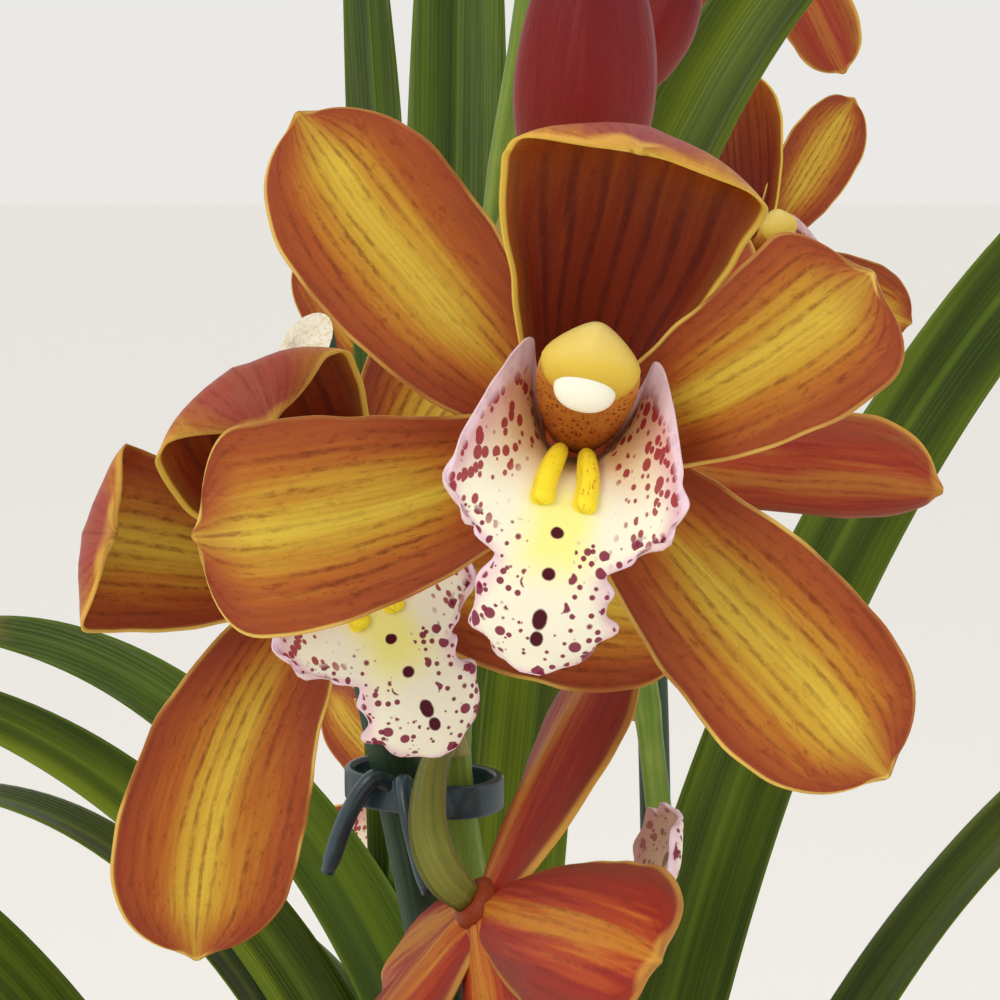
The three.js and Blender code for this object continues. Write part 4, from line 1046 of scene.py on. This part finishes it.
def build_clip(index, clip):
    """A band round the stem and the cane, with two bent finger grips."""
    spike, z = clip
    stem, stem_radius = stem_at(spike, z)
    bottom, top = (np.array(end, float) for end in CANES[spike])
    cane = lerp(bottom, top, (z - bottom[2]) / (top[2] - bottom[2]))
    apart = (cane - stem)[:2]
    turn = math.atan2(apart[1], apart[0])
    tilt = math.acos((stem_radius - CANE_RADIUS) / np.linalg.norm(apart))
    wall = CLIP["wall"] / 2
    outline = []
    bends = ((stem, stem_radius, tilt, 2 * math.pi - tilt), (cane, CANE_RADIUS, -tilt, tilt))
    for centre, radius, low, high in bends:
        angles = np.linspace(turn + low, turn + high, 22)
        reach = radius + CLIP["clearance"] + wall
        outline += list((*centre[:2], z) + reach * grid(np.cos(angles), np.sin(angles), 0))
    outline = np.array(outline)
    out = np.cross(unit(np.roll(outline, -1, 0) - np.roll(outline, 1, 0)), UP)[:, None]
    cos, sin = (values[:, None] for values in (np.cos(around(16)), np.sin(around(16))))
    wide, high = np.sign(cos) * np.abs(cos) ** 0.45, np.sign(sin) * np.abs(sin) ** 0.3
    rings = outline[:, None] + out * (wall * wide) + UP * (CLIP["height"] / 2 * high)
    piece = Piece(f"clip_{index + 1}_skin")
    closed = np.vstack([rings, rings[:1]])
    piece.add(closed, loft(closed, "none"))

    along = unit((stem - cane) * (1, 1, 0))
    out = np.cross(along, UP)
    middle = (stem + cane) / 2 * (1, 1, 0) + UP * z
    reach = CLIP["clearance"] + (stem_radius + CANE_RADIUS) / 2
    t = evenly(30)
    for hand in (-1, 1):
        way = [(0.8, 1.6, 1.6), (3.4, 3, 2.6), (5.5, 6, -3), (6, 9.5, -12)]
        way = [middle + out * (reach + ahead) + along * hand * aside + UP * up for ahead, aside, up in way]
        add_tube(piece, through(way, t), 1.4 * (1 - 0.25 * smooth(t, 0.9, 1)), spot=False)
    piece.build(clip_plastic, f"clip_{index + 1}")


# Pot and bark
def inner_radius(z):
    return lerp(POT["foot"], POT["rim"] - 4, (z - POT["floor"]) / (POT["height"] - POT["floor"])) - POT["wall"]


def build_pot():
    rim, foot, top, floor = POT["rim"], POT["foot"], POT["height"], POT["floor"]
    band = top - POT["rim_height"]
    neck, lip = inner_radius(band) + POT["wall"], inner_radius(top)
    outside = [
        (0.01, 0), (20, 0), (50, 0), (foot - 3, 0), (foot - 1, 0.6), (foot, 2.2),
        *[(lerp(foot, neck, t), lerp(2.2, band, t)) for t in np.linspace(0.04, 0.97, 14)],
        (neck + 0.2, band - 0.8), (rim - 4, band + 0.6), (rim - 3, band + 2.4),
        *[(lerp(rim - 3, rim, t), lerp(band + 2.4, top - 4, t)) for t in (0.2, 0.5, 0.8)],
        (rim, top - 3.4), (rim - 0.5, top - 1.6), (rim - 1.8, top - 0.4), (rim - 3.2, top), (lip + 2.6, top),
    ]
    inside = [(lip + 1, top - 0.5), (lip + 0.1, top - 1.6)]
    inside += [(inner_radius(z), z) for z in np.linspace(top - 4, floor + 2, 12)]
    inside += [(inner_radius(floor) - 2, floor), (40, floor), (0.01, floor)]
    rings = turned(outside + inside, 120)
    looks = np.zeros(rings.shape)
    looks[len(outside) :, :, 0] = 1
    piece = Piece("clay_pot")
    piece.loft(rings, looks)
    pot = piece.build(clay, "pot")
    for i in range(DRAIN["count"]):
        tube = turned([(DRAIN["radius"], -8), (DRAIN["radius"], 20)], 30)
        tube = tube + polar(360 * i / DRAIN["count"], DRAIN["circle"])
        cutter = link_mesh(f"drain_{i}", tube, [[int(k) for k in face] for face in loft(tube)])
        cut = pot.modifiers.new("drain", "BOOLEAN")
        cut.operation, cut.solver, cut.object = "DIFFERENCE", "EXACT", cutter
        bpy.context.view_layer.update()
        done = bpy.data.meshes.new_from_object(pot.evaluated_get(bpy.context.evaluated_depsgraph_get()))
        pot.modifiers.clear()
        pot.data = done
        bpy.data.objects.remove(cutter)


def crown_height(radius, edge_radius):
    return BARK["crown"] - (BARK["crown"] - BARK["edge"]) * (radius / edge_radius) ** 2


def build_bark():
    rng = np.random.default_rng(11)
    edge_radius = inner_radius(BARK["edge"]) - 0.8
    bottom = POT["floor"] + 0.4
    profile = [(0.01, bottom), (inner_radius(bottom) - 1, bottom), (edge_radius, BARK["edge"] - 2)]
    profile += [(r, crown_height(r, edge_radius) - 2.5) for r in np.linspace(edge_radius - 1.5, 0.01, 26)]
    rings = turned(profile, 96)
    x, y = rings[3:, :, 0], rings[3:, :, 1]
    rings[3:, :, 2] += 1.2 * np.sin(x * 0.35) * np.cos(y * 0.31) + 0.8 * np.sin(x * 0.8 + y)
    piece = Piece("bark_chips")
    piece.loft(rings)
    for i in range(CHIPS):
        distance = (edge_radius - 9) * math.sqrt((i + 0.5) / CHIPS)
        size = np.array([rng.uniform(12, 26), rng.uniform(7, 14), rng.uniform(3, 6.5)])
        z = crown_height(distance, edge_radius) - 0.5 + rng.uniform(-1.6, 3.2)
        add_chip(piece, rng, polar(GOLDEN_ANGLE * i, distance), size, z, edge_radius - 1.5)
    piece.build(bark_skin, "bark", flat=True)


def spin(axis, angle):
    """The matrix of a turn about one axis."""
    cos, sin = math.cos(angle), math.sin(angle)
    a, b = (axis + 1) % 3, (axis + 2) % 3
    matrix = np.eye(3)
    matrix[a, a] = matrix[b, b] = cos
    matrix[b, a], matrix[a, b] = sin, -sin
    return matrix


def add_chip(piece, rng, middle, size, z, limit):
    """A slab of bark with broken edges, kept within the limit from the pot's axis."""
    nx, ny = 5, 4
    xs, ys = np.linspace(-0.5, 0.5, nx)[:, None], np.linspace(-0.5, 0.5, ny)
    skew = rng.uniform(-0.35, 0.35)
    points = np.array([grid(xs, ys, height) for height in (0.5, -0.5)])
    points[..., 1] += skew * points[..., 0]
    points += rng.uniform(-0.07, 0.07, points.shape) * (1, 1.2, 1.6)
    points *= size
    a, b, c = rng.uniform(-0.4, 0.4), rng.uniform(-0.35, 0.35), rng.uniform(0, math.pi)
    local = points.reshape(-1, 3)
    placed = local @ (spin(2, c) @ spin(1, b) @ spin(0, a)).T + middle + UP * z
    far = np.hypot(placed[:, 0], placed[:, 1]).max()
    if far > limit:
        placed = placed - unit(middle) * (far - limit)
    top, low = np.arange(2 * nx * ny).reshape(2, nx, ny)
    cells = lambda i: np.stack([i[:-1, :-1], i[1:, :-1], i[1:, 1:], i[:-1, 1:]], -1).reshape(-1, 4)
    rim_top, rim_low = (np.concatenate([i[:, 0], i[-1, 1:], i[-2::-1, -1], i[0, -2:0:-1]]) for i in (top, low))
    sides = np.stack([rim_top, rim_low, np.roll(rim_low, -1), np.roll(rim_top, -1)], -1)
    spot = local + rng.uniform(-200, 200, 3)
    piece.add(placed, [*cells(top), *cells(low)[:, ::-1], *sides], (1, rng.uniform(0, 1), 0), spot=spot)


BUILDERS = (build_flower, build_bud, build_spike, build_shoot, build_cane, build_clip)
for builder, table in zip(BUILDERS, (FLOWERS, BUDS, SPIKES, SHOOTS, CANES, CLIPS)):
    for index, row in enumerate(table):
        builder(index, row)
build_pot()
build_bark()


# Floor, light and camera, in metres
FLOOR_REACH = 40.0
WORLD_STRENGTH = 0.86
CAMERA_PLACE = (0.0, -0.4473, 0.639)
CAMERA_DOWN, CAMERA_VIEW = 8.0, 23.8
LAMPS = [
    ("key", 20.0, (-1.3, -1.5, 2.0), 1.3, (1.0, 0.97, 0.92)),
    ("fill", 4.0, (1.6, -1.2, 1.2), 1.6, (0.95, 0.98, 1.0)),
]
LAMP_AIM = Vector((0, 0, 0.5))


def build_stage():
    scene = bpy.context.scene
    corners = np.array([(-1, -1, 0), (1, -1, 0), (1, 1, 0), (-1, 1, 0)]) * FLOOR_REACH / MM
    floor = link_mesh("floor", corners, [(0, 1, 2, 3)])
    floor.data.materials.append(Graph("pale_floor").shade("FBF9F6", 0.9))
    floor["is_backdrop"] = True

    scene.world = bpy.data.worlds.new("pale_world")
    scene.world.use_nodes = True
    background = scene.world.node_tree.nodes["Background"]
    background.inputs["Color"].default_value = rgb("FBF9F5")
    background.inputs["Strength"].default_value = WORLD_STRENGTH

    for name, energy, place, size, color in LAMPS:
        light = bpy.data.lights.new(name, "AREA")
        light.energy, light.shape, light.size, light.color = energy, "DISK", size, color
        lamp = bpy.data.objects.new(name, light)
        lamp.location = place
        lamp.rotation_euler = (LAMP_AIM - Vector(place)).to_track_quat("-Z", "Y").to_euler()
        scene.collection.objects.link(lamp)

    camera = bpy.data.cameras.new("camera")
    camera.sensor_width = 36.0
    camera.lens = camera.sensor_width / 2 / math.tan(math.radians(CAMERA_VIEW / 2))
    camera.clip_start, camera.clip_end = 0.02, 200.0
    eye = bpy.data.objects.new("camera", camera)
    eye.location = CAMERA_PLACE
    eye.rotation_euler = (math.radians(90 - CAMERA_DOWN), 0.0, 0.0)
    scene.collection.objects.link(eye)
    scene.camera = eye
    scene.view_settings.view_transform = "Standard"


build_stage()

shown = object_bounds()
as_list = lambda box: [[float(x) for x in corner] for corner in box]
{"cad": as_list(cad_box), "visual": as_list(shown)}
